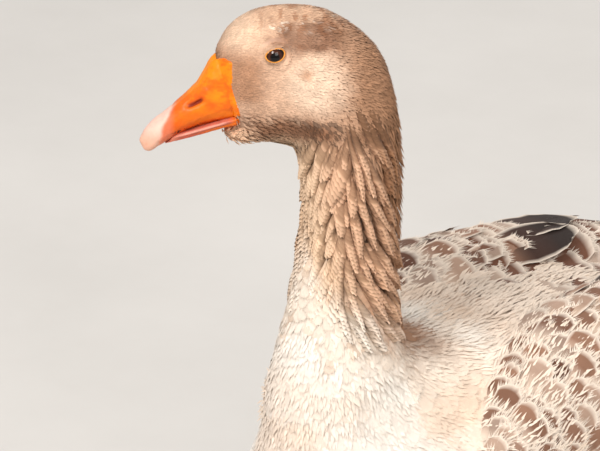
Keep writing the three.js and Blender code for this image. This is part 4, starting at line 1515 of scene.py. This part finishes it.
def make_upper_bill(shell):
    verts, faces = joined_solid(["bill_upper", "bill_nail", "head"], 0.66, grow=0.22, rounds=9)
    h = to_head(verts)
    under = h[:, 1] - feather_edge(h)
    keep = (under < BILL_TUCK) & ((h[:, 2] > cutting_edge(h[:, 1]) - 1.0) | (h[:, 1] < -34))
    used, faces = some_faces(faces, keep[faces].all(axis=1))
    verts, h, under = verts[used], h[used], under[used]
    normals = vertex_normals(verts, faces)
    slit, hollow = nostril_depth(h)
    groove = np.exp(-((behind_nail(h) / 0.8) ** 2))
    deep = NOSTRIL_DEPTH * slit + 0.5 * hollow + 0.22 * groove + 1.7 * smooth(-1.3, 0.9, under)
    wander = 0.3 * (noise(h, 2.2, 21) - 0.5) + 0.6 * (noise(h * [1, 0.6, 1], 6, 22) - 0.5)
    verts = verts - normals * (deep - wander * smooth(0, 6, behind_nail(h)))[:, None]
    tones = even(BILL_ORANGE, len(h))
    x, y, z = np.abs(h[:, 0]), h[:, 1], h[:, 2]
    # painted highlight: the bill made yellower along its ridge
    tones = mix(tones, BILL_YELLOW, smooth(9, 3, x) * smooth(-56, -42, y))
    streaks = 0.6 * noise(h * [1, 0.4, 1], 3.4, 27) + 0.4 * noise(h * [1, 0.6, 1], 1.1, 29)
    tones = mix(tones, BILL_YELLOW, 0.85 * smooth(0.25, 0.7, streaks) * smooth(-44, -28, z))
    tones = mix(tones, colour(208, 74, 0), 0.45 * smooth(0.4, 0.75, noise(h, 6.0, 28)) * smooth(-12, -28, z))
    # redder towards the tip, and painted shade: redder in the hollow round each nostril
    tones = mix(tones, BILL_RED, 0.2 * smooth(-48, -58, y) + 0.6 * hollow)
    edge = cutting_edge(y)
    tones = mix(tones, BILL_RED, 0.7 * smooth(4, 0, z - edge) * smooth(-26, -34, y))
    tones = mix(tones, colour(214, 118, 84), 0.8 * smooth(-57, -62, y))
    # painted shade: the nostril's slit painted dark red-brown, as shade inside the opening
    tones = mix(tones, colour(120, 26, 14), 0.92 * smooth(0.25, 0.75, slit))
    specks = smooth(0.66, 0.74, noise(h * [1, 1.3, 1], 1.2, 23))
    specks = specks * smooth(2.4, 0.9, np.abs(z - edge - 0.4))
    tones = mix(tones, colour(30, 18, 14), specks * smooth(-40, -46, y) * smooth(-62, -56, y))
    nail = behind_nail(h)
    pink = mix(even(NAIL_PINK, len(h)), colour(226, 172, 146), smooth(-46, -58, z))
    tones = mix(tones, pink, smooth(2.2, -1.2, nail + 1.6 * (noise(h, 3.0, 26) - 0.5)))
    nail_face = nail[faces].mean(1) < -0.2
    for name, part_faces, slot, node in (
        ("bill_sheath", ~nail_face, "bill", "bill_upper"),
        ("bill_nail_plate", nail_face, "bill_nail", "bill_nail"),
    ):
        used, part = some_faces(faces, part_faces)
        painted(name, verts[used], part, tones[used], shell, [node])


def make_lower_bill(shell):
    """The lower mandible, drawn up to the cutting edge of the upper one and in over the chin."""
    verts, faces = joined_solid(["bill_lower"], 0.6, grow=0.05, rounds=7)
    h = to_head(verts)
    x, y, z = np.abs(h[:, 0]), h[:, 1], h[:, 2]
    top = cutting_edge(y) - 0.3
    bottom = mandible_edge(y)
    solid_bottom = SOLID_BOTTOM_Z + SOLID_BOTTOM_RISE * (y - SOLID_BOTTOM_Y)
    solid_top = np.interp(y, SOLID_TOP_Y, SOLID_TOP_Z)
    share = np.clip((z - solid_bottom) / (solid_top - solid_bottom), -0.2, 1.1)
    base = mix(solid_bottom, bottom - 0.6, 0.85 * smooth(-76, -68, y)) + 2.4 * smooth(-54, -66, y)
    h[:, 2] = mix(z, base + share * (top - base), smooth(-76, -70, y))
    h[:, 1] += 0.3 * np.clip(-58 - y, 0, 20)
    rim = smooth(0.45, 0.8, share) * smooth(4, 8, x) * smooth(-64, -56, y)
    h[:, 0] += np.sign(h[:, 0]) * (1.3 * rim - 1.2 * smooth(-22.6, -20.6, y))
    z = h[:, 2]
    tones = even(MOUTH_PINK, len(h))
    edge = mix(even(BILL_ORANGE, len(h)), colour(196, 84, 56), smooth(-34, -50, y))
    tones = mix(tones, edge, smooth(3.0, 1.8, z - bottom))
    tones = mix(tones, colour(206, 128, 104), 0.7 * smooth(-52, -60, y))
    # a painted highlight along the mandible's side
    shine = smooth(0.8, 0.3, np.abs(z - bottom - 4.0)) * smooth(-60, -50, y) * smooth(-26, -32, y)
    tones = mix(tones, colour(232, 172, 152), 0.5 * shine)
    tones = mix(tones, BILL_ORANGE, smooth(-28, -22, y))
    tones = mix(tones, colour(170, 62, 40), 0.5 * smooth(1.2, 0.2, z - bottom) * smooth(-30, -44, y))
    # painted shade in the groove along the mandible, with random tone from the noise
    groove = np.exp(-(((z - bottom - 2.4) / 0.5) ** 2))
    tones = tones * (0.9 + 0.2 * noise(h, 2.4, 25) - 0.12 * groove)[:, None]
    verts = from_head(h)
    verts = verts - vertex_normals(verts, faces) * (0.2 * (noise(h, 3, 24) - 0.5) + 0.3 * groove)[:, None]
    painted("bill_mandible", verts, faces, tones, shell, ["bill_lower"])


def make_bill():
    shell = horn_material("bill_horn", 0.42, 220.0, 0.25)
    make_upper_bill(shell)
    make_lower_bill(shell)


# ---- Eyes ------------------------------------------------------------------------------------

PUPIL, IRIS = 2.7, 5.2  # their radii, measured over the ball
CORNEA_BULGE = 0.25


def eye_shader():
    shader = Shader("eyeball", Roughness=0.04, IOR=1.34)
    paint = shader.attribute("paint")
    rays = shader.ramp(shader.noise(1500.0, 4.0), 0.35, 0.65, grey(0.7), grey(1.0))
    shader.feed("Base Color", shader.multiply(paint, rays))
    shader.bump(shader.noise(400.0, 2.0), 0.02, 0.0001)
    return shader.material


def ring_grid(rings, around):
    """Quads between closed rings, each ring of this many points."""
    i = np.arange(rings * around).reshape(rings, around)
    beside = np.roll(i, -1, axis=1)
    return np.stack([i[:-1], beside[:-1], beside[1:], i[1:]], axis=-1).reshape(-1, 4)


def almond(angles, margin):
    """A closed almond round the eye's opening, as places across the head: back and up."""
    along = (LID_LONG + margin) * np.cos(angles)
    up = (LID_HIGH + margin) * np.sin(angles) * (1 + 0.06 * np.cos(angles))
    y = along * math.cos(LID_TILT) - up * math.sin(LID_TILT) + LID_CENTRE[0]
    z = along * math.sin(LID_TILT) + up * math.cos(LID_TILT) + LID_CENTRE[1]
    return y, z


def lid_patch(side, centre):
    """The feathered lids: from the eye's opening out over the ball and into the head's skin."""
    angles = np.linspace(0, 2 * math.pi, LID_POINTS, endpoint=False)[None, :]
    margin = LID_MARGINS[:, None]
    y, z = almond(angles, margin)
    flat = np.stack([np.full(y.size, 45.0 * side), (y + centre[1]).ravel(), (z + centre[2]).ravel()], axis=1)
    inward = even(-side * HEAD_LEFT, y.size)
    hit, _, _ = OUTER.cast(from_head(flat), inward)
    skin = np.abs(to_head(hit)[:, 0]).reshape(y.shape) - 0.95
    ball_top = np.abs(centre[0]) + np.sqrt(np.maximum(EYE_RADIUS**2 - y**2 - z**2, 0)) + 0.12
    near = smooth(3.6, 0.4, margin)
    x = np.maximum(mix(skin, ball_top, near), ball_top - 0.05)
    brow = smooth(0.1, 0.9, np.sin(angles)) * smooth(0.0, 1.0, margin) * smooth(4.5, 1.5, margin)
    x = x + 0.35 * brow - 0.5 * smooth(3.4, 5.4, margin)
    verts = np.stack([x * side, y + centre[1], z + centre[2]], axis=-1).reshape(-1, 3)
    faces = ring_grid(*y.shape)
    if side > 0:
        faces = faces[:, ::-1]
    return verts, faces


def lid_rim():
    """The rim of bare skin round the eye's opening, as a tube, for the left eye."""
    angles = np.linspace(0, 2 * math.pi, LID_POINTS, endpoint=False)
    y, z = almond(angles, 0.0)
    reach = np.sqrt(EYE_RADIUS**2 - y**2 - z**2)
    path = np.stack([reach, y, z], axis=1)
    ways = unit(np.roll(path, -1, axis=0) - np.roll(path, 1, axis=0))
    outs = unit(path)
    across = np.cross(ways, outs)
    turn = np.linspace(0, 2 * math.pi, LID_TUBE_POINTS, endpoint=False)
    tube = LID_TUBE * (1 + 0.25 * np.cos(angles * 2 + 0.6))
    ring = across[:, None] * np.cos(turn)[None, :, None] * 1.35 + outs[:, None] * np.sin(turn)[None, :, None]
    verts = path[:, None] + outs[:, None] * 0.15 + ring * tube[:, None, None]
    i = np.arange(LID_POINTS * LID_TUBE_POINTS).reshape(LID_POINTS, LID_TUBE_POINTS)
    down, next_turn = np.roll(i, -1, axis=0), np.roll(i, -1, axis=1)
    both = np.roll(down, -1, axis=1)
    return verts.reshape(-1, 3), np.stack([i, next_turn, both, down], axis=-1).reshape(-1, 4)


def mirrored(verts, faces, side):
    """The left eye's mesh as it is, or the right eye's from it."""
    verts[:, 0] *= side
    return verts, faces if side > 0 else faces[:, ::-1]


def make_eye(name, side, material, lid_material):
    centre = to_head(EYES[name][None])[0]
    verts, faces = ball(EYE_RADIUS, 40, 56)
    out = np.arccos(np.clip(verts[:, 0] / EYE_RADIUS, -1, 1)) * EYE_RADIUS
    verts[:, 0] += CORNEA_BULGE * np.exp(-((out / 3.6) ** 2))
    tones = even(colour(12, 8, 7), len(verts))
    tones = mix(tones, colour(70, 36, 20), smooth(PUPIL - 0.2, PUPIL + 0.3, out))
    tones = mix(tones, colour(24, 14, 10), smooth(IRIS - 0.8, IRIS, out))
    verts, faces = mirrored(verts, faces, side)
    painted(f"eye_{name}_ball", from_head(verts + centre), faces, tones, material, [f"eye_{name}"])
    verts, faces = lid_rim()
    tones = even(colour(222, 146, 58), len(verts)) * (0.8 + 0.4 * noise(verts, 1.4, 31))[:, None]
    verts, faces = mirrored(verts, faces, side)
    lid_verts, lid_faces = lid_patch(side, centre)
    lid_world = from_head(lid_verts)
    # the lid's skin under its tufts darkened by painted shade, as on the head's skin
    lid_tones = markings(lid_world, even(side * HEAD_LEFT, len(lid_verts))) * 0.85
    verts = np.concatenate([from_head(verts + centre), lid_world])
    faces = np.concatenate([faces, lid_faces + len(tones)])
    tones = np.concatenate([tones, lid_tones])
    painted(f"eyelid_{name}", verts, faces, tones, lid_material, [])


# ---- Legs ------------------------------------------------------------------------------------


def cells(points, size, seed=0):
    """Distances to the nearest and the next nearest of scattered middles, in cells of this size."""
    p = points / size + 50.0
    base = np.floor(p).astype(np.int64)
    nearest = np.full((2, len(points)), 9.0)
    for dx in (-1, 0, 1):
        for dy in (-1, 0, 1):
            for dz in (-1, 0, 1):
                c = base + [dx, dy, dz]
                h = hashed(c) ^ (seed * 97)
                spot = [(((h >> (5 * k)) * 1103515245 + 12345 >> 8) % 1009) / 1009 for k in range(3)]
                gap = np.linalg.norm(c + 0.15 + 0.7 * np.stack(spot, axis=1) - p, axis=1)
                nearest[1] = np.minimum(np.maximum(gap, nearest[0]), nearest[1])
                nearest[0] = np.minimum(gap, nearest[0])
    return nearest


LEG_SCALE_SIZE, LEG_GROOVE_DEPTH = 3.1, 0.28


def make_legs():
    scaly = horn_material("leg_scales", 0.5, 260.0, 0.4)
    horn = horn_material("claw_horn", 0.35, 500.0, 0.2)
    for name in SIDES:
        nodes = [f"shank_{name}", f"foot_{name}"]
        verts, faces = joined_solid(nodes, 1.0, grow=0.2, rounds=8)
        near, far = cells(verts, LEG_SCALE_SIZE, 5)
        rim = smooth(0.0, 0.22, far - near)
        flat = smooth(0.0, 2.0, verts[:, 2])
        verts = verts + vertex_normals(verts, faces) * (LEG_GROOVE_DEPTH * (rim - 1) * flat)[:, None]
        verts[:, 2] = np.maximum(verts[:, 2], 0.0)
        tones = mix(even(colour(214, 96, 30), len(verts)), colour(244, 146, 58), rim)
        tones = tones * (0.85 + 0.3 * noise(verts, 9, 32))[:, None]
        painted(f"leg_{name}", verts, faces, tones, scaly, nodes)
        claws = [f"claw_{name}_{toe}" for toe in ("inner", "middle", "outer", "hind")]
        verts, faces = joined_solid(claws, 0.5, grow=0.05, rounds=4)
        verts[:, 2] = np.maximum(verts[:, 2], 0.0)
        tones = even(colour(96, 76, 62), len(verts)) * (0.8 + 0.4 * noise(verts, 3, 33))[:, None]
        painted(f"claws_{name}", verts, faces, tones, horn, claws)


# ---- Stage, camera and lights ----------------------------------------------------------------

CAMERA_TURN, CAMERA_RISE, CAMERA_AWAY = 42.0, 24.0, 2200.0
PIXELS_PER_MM = 1.72
FRAME_SIZE = (600, 451)
NECK_PIXEL = (352, 150)  # where the neck's axis is at this height in the picture
NECK_PIXEL_HEIGHT = 524.6
SENSOR = 36.0


def make_camera():
    turn, rise = math.radians(CAMERA_TURN), math.radians(CAMERA_RISE)
    back = np.array([math.sin(turn) * math.cos(rise), -math.cos(turn) * math.cos(rise), math.sin(rise)])
    right = np.array([math.cos(turn), math.sin(turn), 0.0])
    up = np.cross(back, right)
    focus = np.array([0.0, NECK_Y, NECK_PIXEL_HEIGHT])
    aside = (FRAME_SIZE[0] / 2 - NECK_PIXEL[0]) / PIXELS_PER_MM
    lift = (NECK_PIXEL[1] - FRAME_SIZE[1] / 2) / PIXELS_PER_MM
    place = focus + right * aside + up * lift + back * CAMERA_AWAY
    data = bpy.data.cameras.new("camera")
    data.sensor_width = SENSOR
    data.lens = PIXELS_PER_MM * CAMERA_AWAY * SENSOR / FRAME_SIZE[0]
    data.clip_end = 50.0
    camera = bpy.data.objects.new("camera", data)
    bpy.context.scene.collection.objects.link(camera)
    axes = Matrix((right, up, back)).transposed().to_4x4()
    camera.matrix_world = Matrix.Translation(Vector(place * MM)) @ axes
    bpy.context.scene.camera = camera


def area_light(name, place, target, size, power, tint):
    data = bpy.data.lights.new(name, "AREA")
    data.size, data.energy, data.color = size, power, tint
    light = bpy.data.objects.new(name, data)
    way = Vector(target) - Vector(place)
    light.rotation_euler = way.to_track_quat("-Z", "Y").to_euler()
    light.location = place
    bpy.context.scene.collection.objects.link(light)


FLOOR_HALF = 6000.0
LIGHTS = (
    # name, place in metres, size in metres, watts, tint
    ("key", (0.05, -2.1, 2.6), 0.9, 72, (1.0, 0.955, 0.92)),
    ("fill", (2.0, -1.2, 2.2), 1.6, 48, (1.0, 0.96, 0.93)),
    ("rim", (-1.2, 1.9, 1.9), 1.2, 18, (1.0, 0.97, 0.94)),
)


def make_stage():
    bpy.context.scene.view_settings.view_transform = "Standard"
    world = bpy.data.worlds.new("studio")
    world.use_nodes = True
    background = world.node_tree.nodes["Background"].inputs
    background["Color"].default_value = (0.90, 0.88, 0.86, 1)
    background["Strength"].default_value = 0.58
    bpy.context.scene.world = world
    corners = np.array([[-1, -1, 0], [1, -1, 0], [1, 1, 0], [-1, 1, 0]]) * FLOOR_HALF
    floor = new_object("floor", corners, np.array([[0, 1, 2, 3]]))
    shader = Shader("floor", Roughness=0.8)
    tone = shader.ramp(shader.noise(3.0, 6.0), 0.3, 0.7, (0.60, 0.585, 0.56), (0.66, 0.645, 0.62))
    shader.feed("Base Color", tone)
    shader.bump(shader.noise(60.0, 4.0), 0.1, 0.001)
    floor.data.materials.append(shader.material)
    centre = (0, NECK_Y * MM, 0.42)
    for name, place, size, power, tint in LIGHTS:
        area_light(name, place, centre, size, power, tint)


# ---- Everything together ---------------------------------------------------------------------


def skin_material():
    shader = Shader("skin", Roughness=0.85)
    paint = shader.attribute("plumage")
    mottle = shader.ramp(shader.noise(300.0, 4.0), 0.3, 0.7, grey(0.8), grey(1.0))
    shader.feed("Base Color", shader.multiply(paint, mottle))
    shader.bump(shader.noise(900.0, 3.0), 0.4, 0.0004)
    return shader.material


# Painted shade for the skin under the plumage: deep on the neck between the locks, light on the head.
def skin_shade(points):
    h = to_head(points)
    shade = mix(NECK_SKIN_SHADE, HEAD_SKIN_SHADE, smooth(-62, -40, h[:, 2]) * smooth(60, 45, h[:, 1]))
    turn = np.abs(neck_angle(points))
    foot = smooth(0, 30, (470 - points[:, 2]) - 0.5 * turn)
    shade = mix(shade, BODY_SKIN_SHADE, foot)
    return mix(BODY_SKIN_SHADE, shade, smooth(392, 410, points[:, 2]))


def show_skin():
    obj = new_object("skin", skin_verts, outer_faces)
    tones = markings(skin_verts, SKIN.normals) * skin_shade(skin_verts)[:, None]
    paint_points(obj.data, "plumage", tones)
    obj.data.materials.append(skin_material())
    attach(obj, "root")
    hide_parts(*FLESH)


HEAD_TUFT_GAP, LID_TUFT_GAP = 0.78, 0.6


def head_roots():
    """Roots of the head's small feathers, with those on the lids."""

    def wanted(p):
        h = to_head(p)
        at_gape = (h[:, 1] < -19.0) & (h[:, 2] < -37.5) & (h[:, 2] > mandible_edge(h[:, 1]) - 1.0)
        start = feather_edge(h) - 0.2 + 1.8 * smooth(-37, -40, h[:, 2])
        return (h[:, 2] > -66 - 0.2 * h[:, 1]) & (p[:, 2] > 500) & (h[:, 1] > start) & ~at_gape

    roots, normals = scattered(SKIN, wanted, HEAD_TUFT_GAP, 21)
    h = to_head(roots)
    near_eye = (lid_gap(h, 3.4) < 1) & (np.abs(h[:, 0]) > 12)
    roots, normals = [roots[~near_eye]], [normals[~near_eye]]
    for name, side in SIDES.items():
        verts, faces = lid_patch(side, to_head(EYES[name][None])[0])
        lids = Surface(from_head(verts), faces)

        def on_lid(p):
            gap = lid_gap(to_head(p), 0.0)
            return (gap > 1.06) & (lid_gap(to_head(p), 3.6) < 1)

        lid_roots, lid_normals = scattered(lids, on_lid, LID_TUFT_GAP, 22)
        roots.append(lid_roots)
        normals.append(lid_normals)
    return np.concatenate(roots), np.concatenate(normals)


def add_head(coats):
    roots, normals = head_roots()
    h = to_head(roots)
    n = len(roots)
    ways = read_at(CENTRE_ALONG, along_body(roots)) + 0.3 * HEAD_BACK
    ways = unit(ways) + 0.18 * RNG.normal(size=(n, 3))
    back = np.clip(smooth(10, 55, h[:, 1]) + smooth(-34, -56, h[:, 2]) * smooth(-24, 2, h[:, 1]), 0, 1)
    near_eye = smooth(1.25, 0.9, lid_gap(h, 3.0)) * (np.abs(h[:, 0]) > 12)
    small = mix(1.0, 0.7, near_eye)
    lengths = mix(2.5, 4.8, back) * RNG.uniform(0.8, 1.25, n) * small
    widths = mix(1.15, 1.4, back) * RNG.uniform(0.8, 1.2, n) * small
    tones = markings(roots, normals) * RNG.uniform(0.92, 1.08, (n, 1))
    high = (mix(0.34, 1.4, back) + 0.7 * smooth(30, 50, h[:, 1])) * RNG.uniform(0.7, 1.2, n)
    lifts = (np.full(n, -0.1), 0.6 * high, high)
    for k, coat in enumerate(coats):
        part = np.arange(n) % len(coats) == k
        add_kites(
            coat, roots[part], normals[part], ways[part], lengths[part], widths[part],
            [lift[part] for lift in lifts], 0.08, tones[part], bow=0.05, root_shade=0.97,
        )


EYE_GLOSS = eye_shader()
LID_SKIN = horn_material("eyelid", 0.45, 600.0, 0.3)
make_stage()
make_camera()
show_skin()
make_bill()
for side_name, side_sign in SIDES.items():
    make_eye(side_name, side_sign, EYE_GLOSS, LID_SKIN)
make_legs()
make_neck()
head_coats = [Coat(f"head_tufts_{k}", "plumage_head") for k in (1, 2)]
add_head(head_coats)
for head_coat in head_coats:
    head_coat.build(DOWN)
make_body()
for side_name, side_sign in SIDES.items():
    make_wing(side_name, side_sign)
make_scapulars()
make_tail()
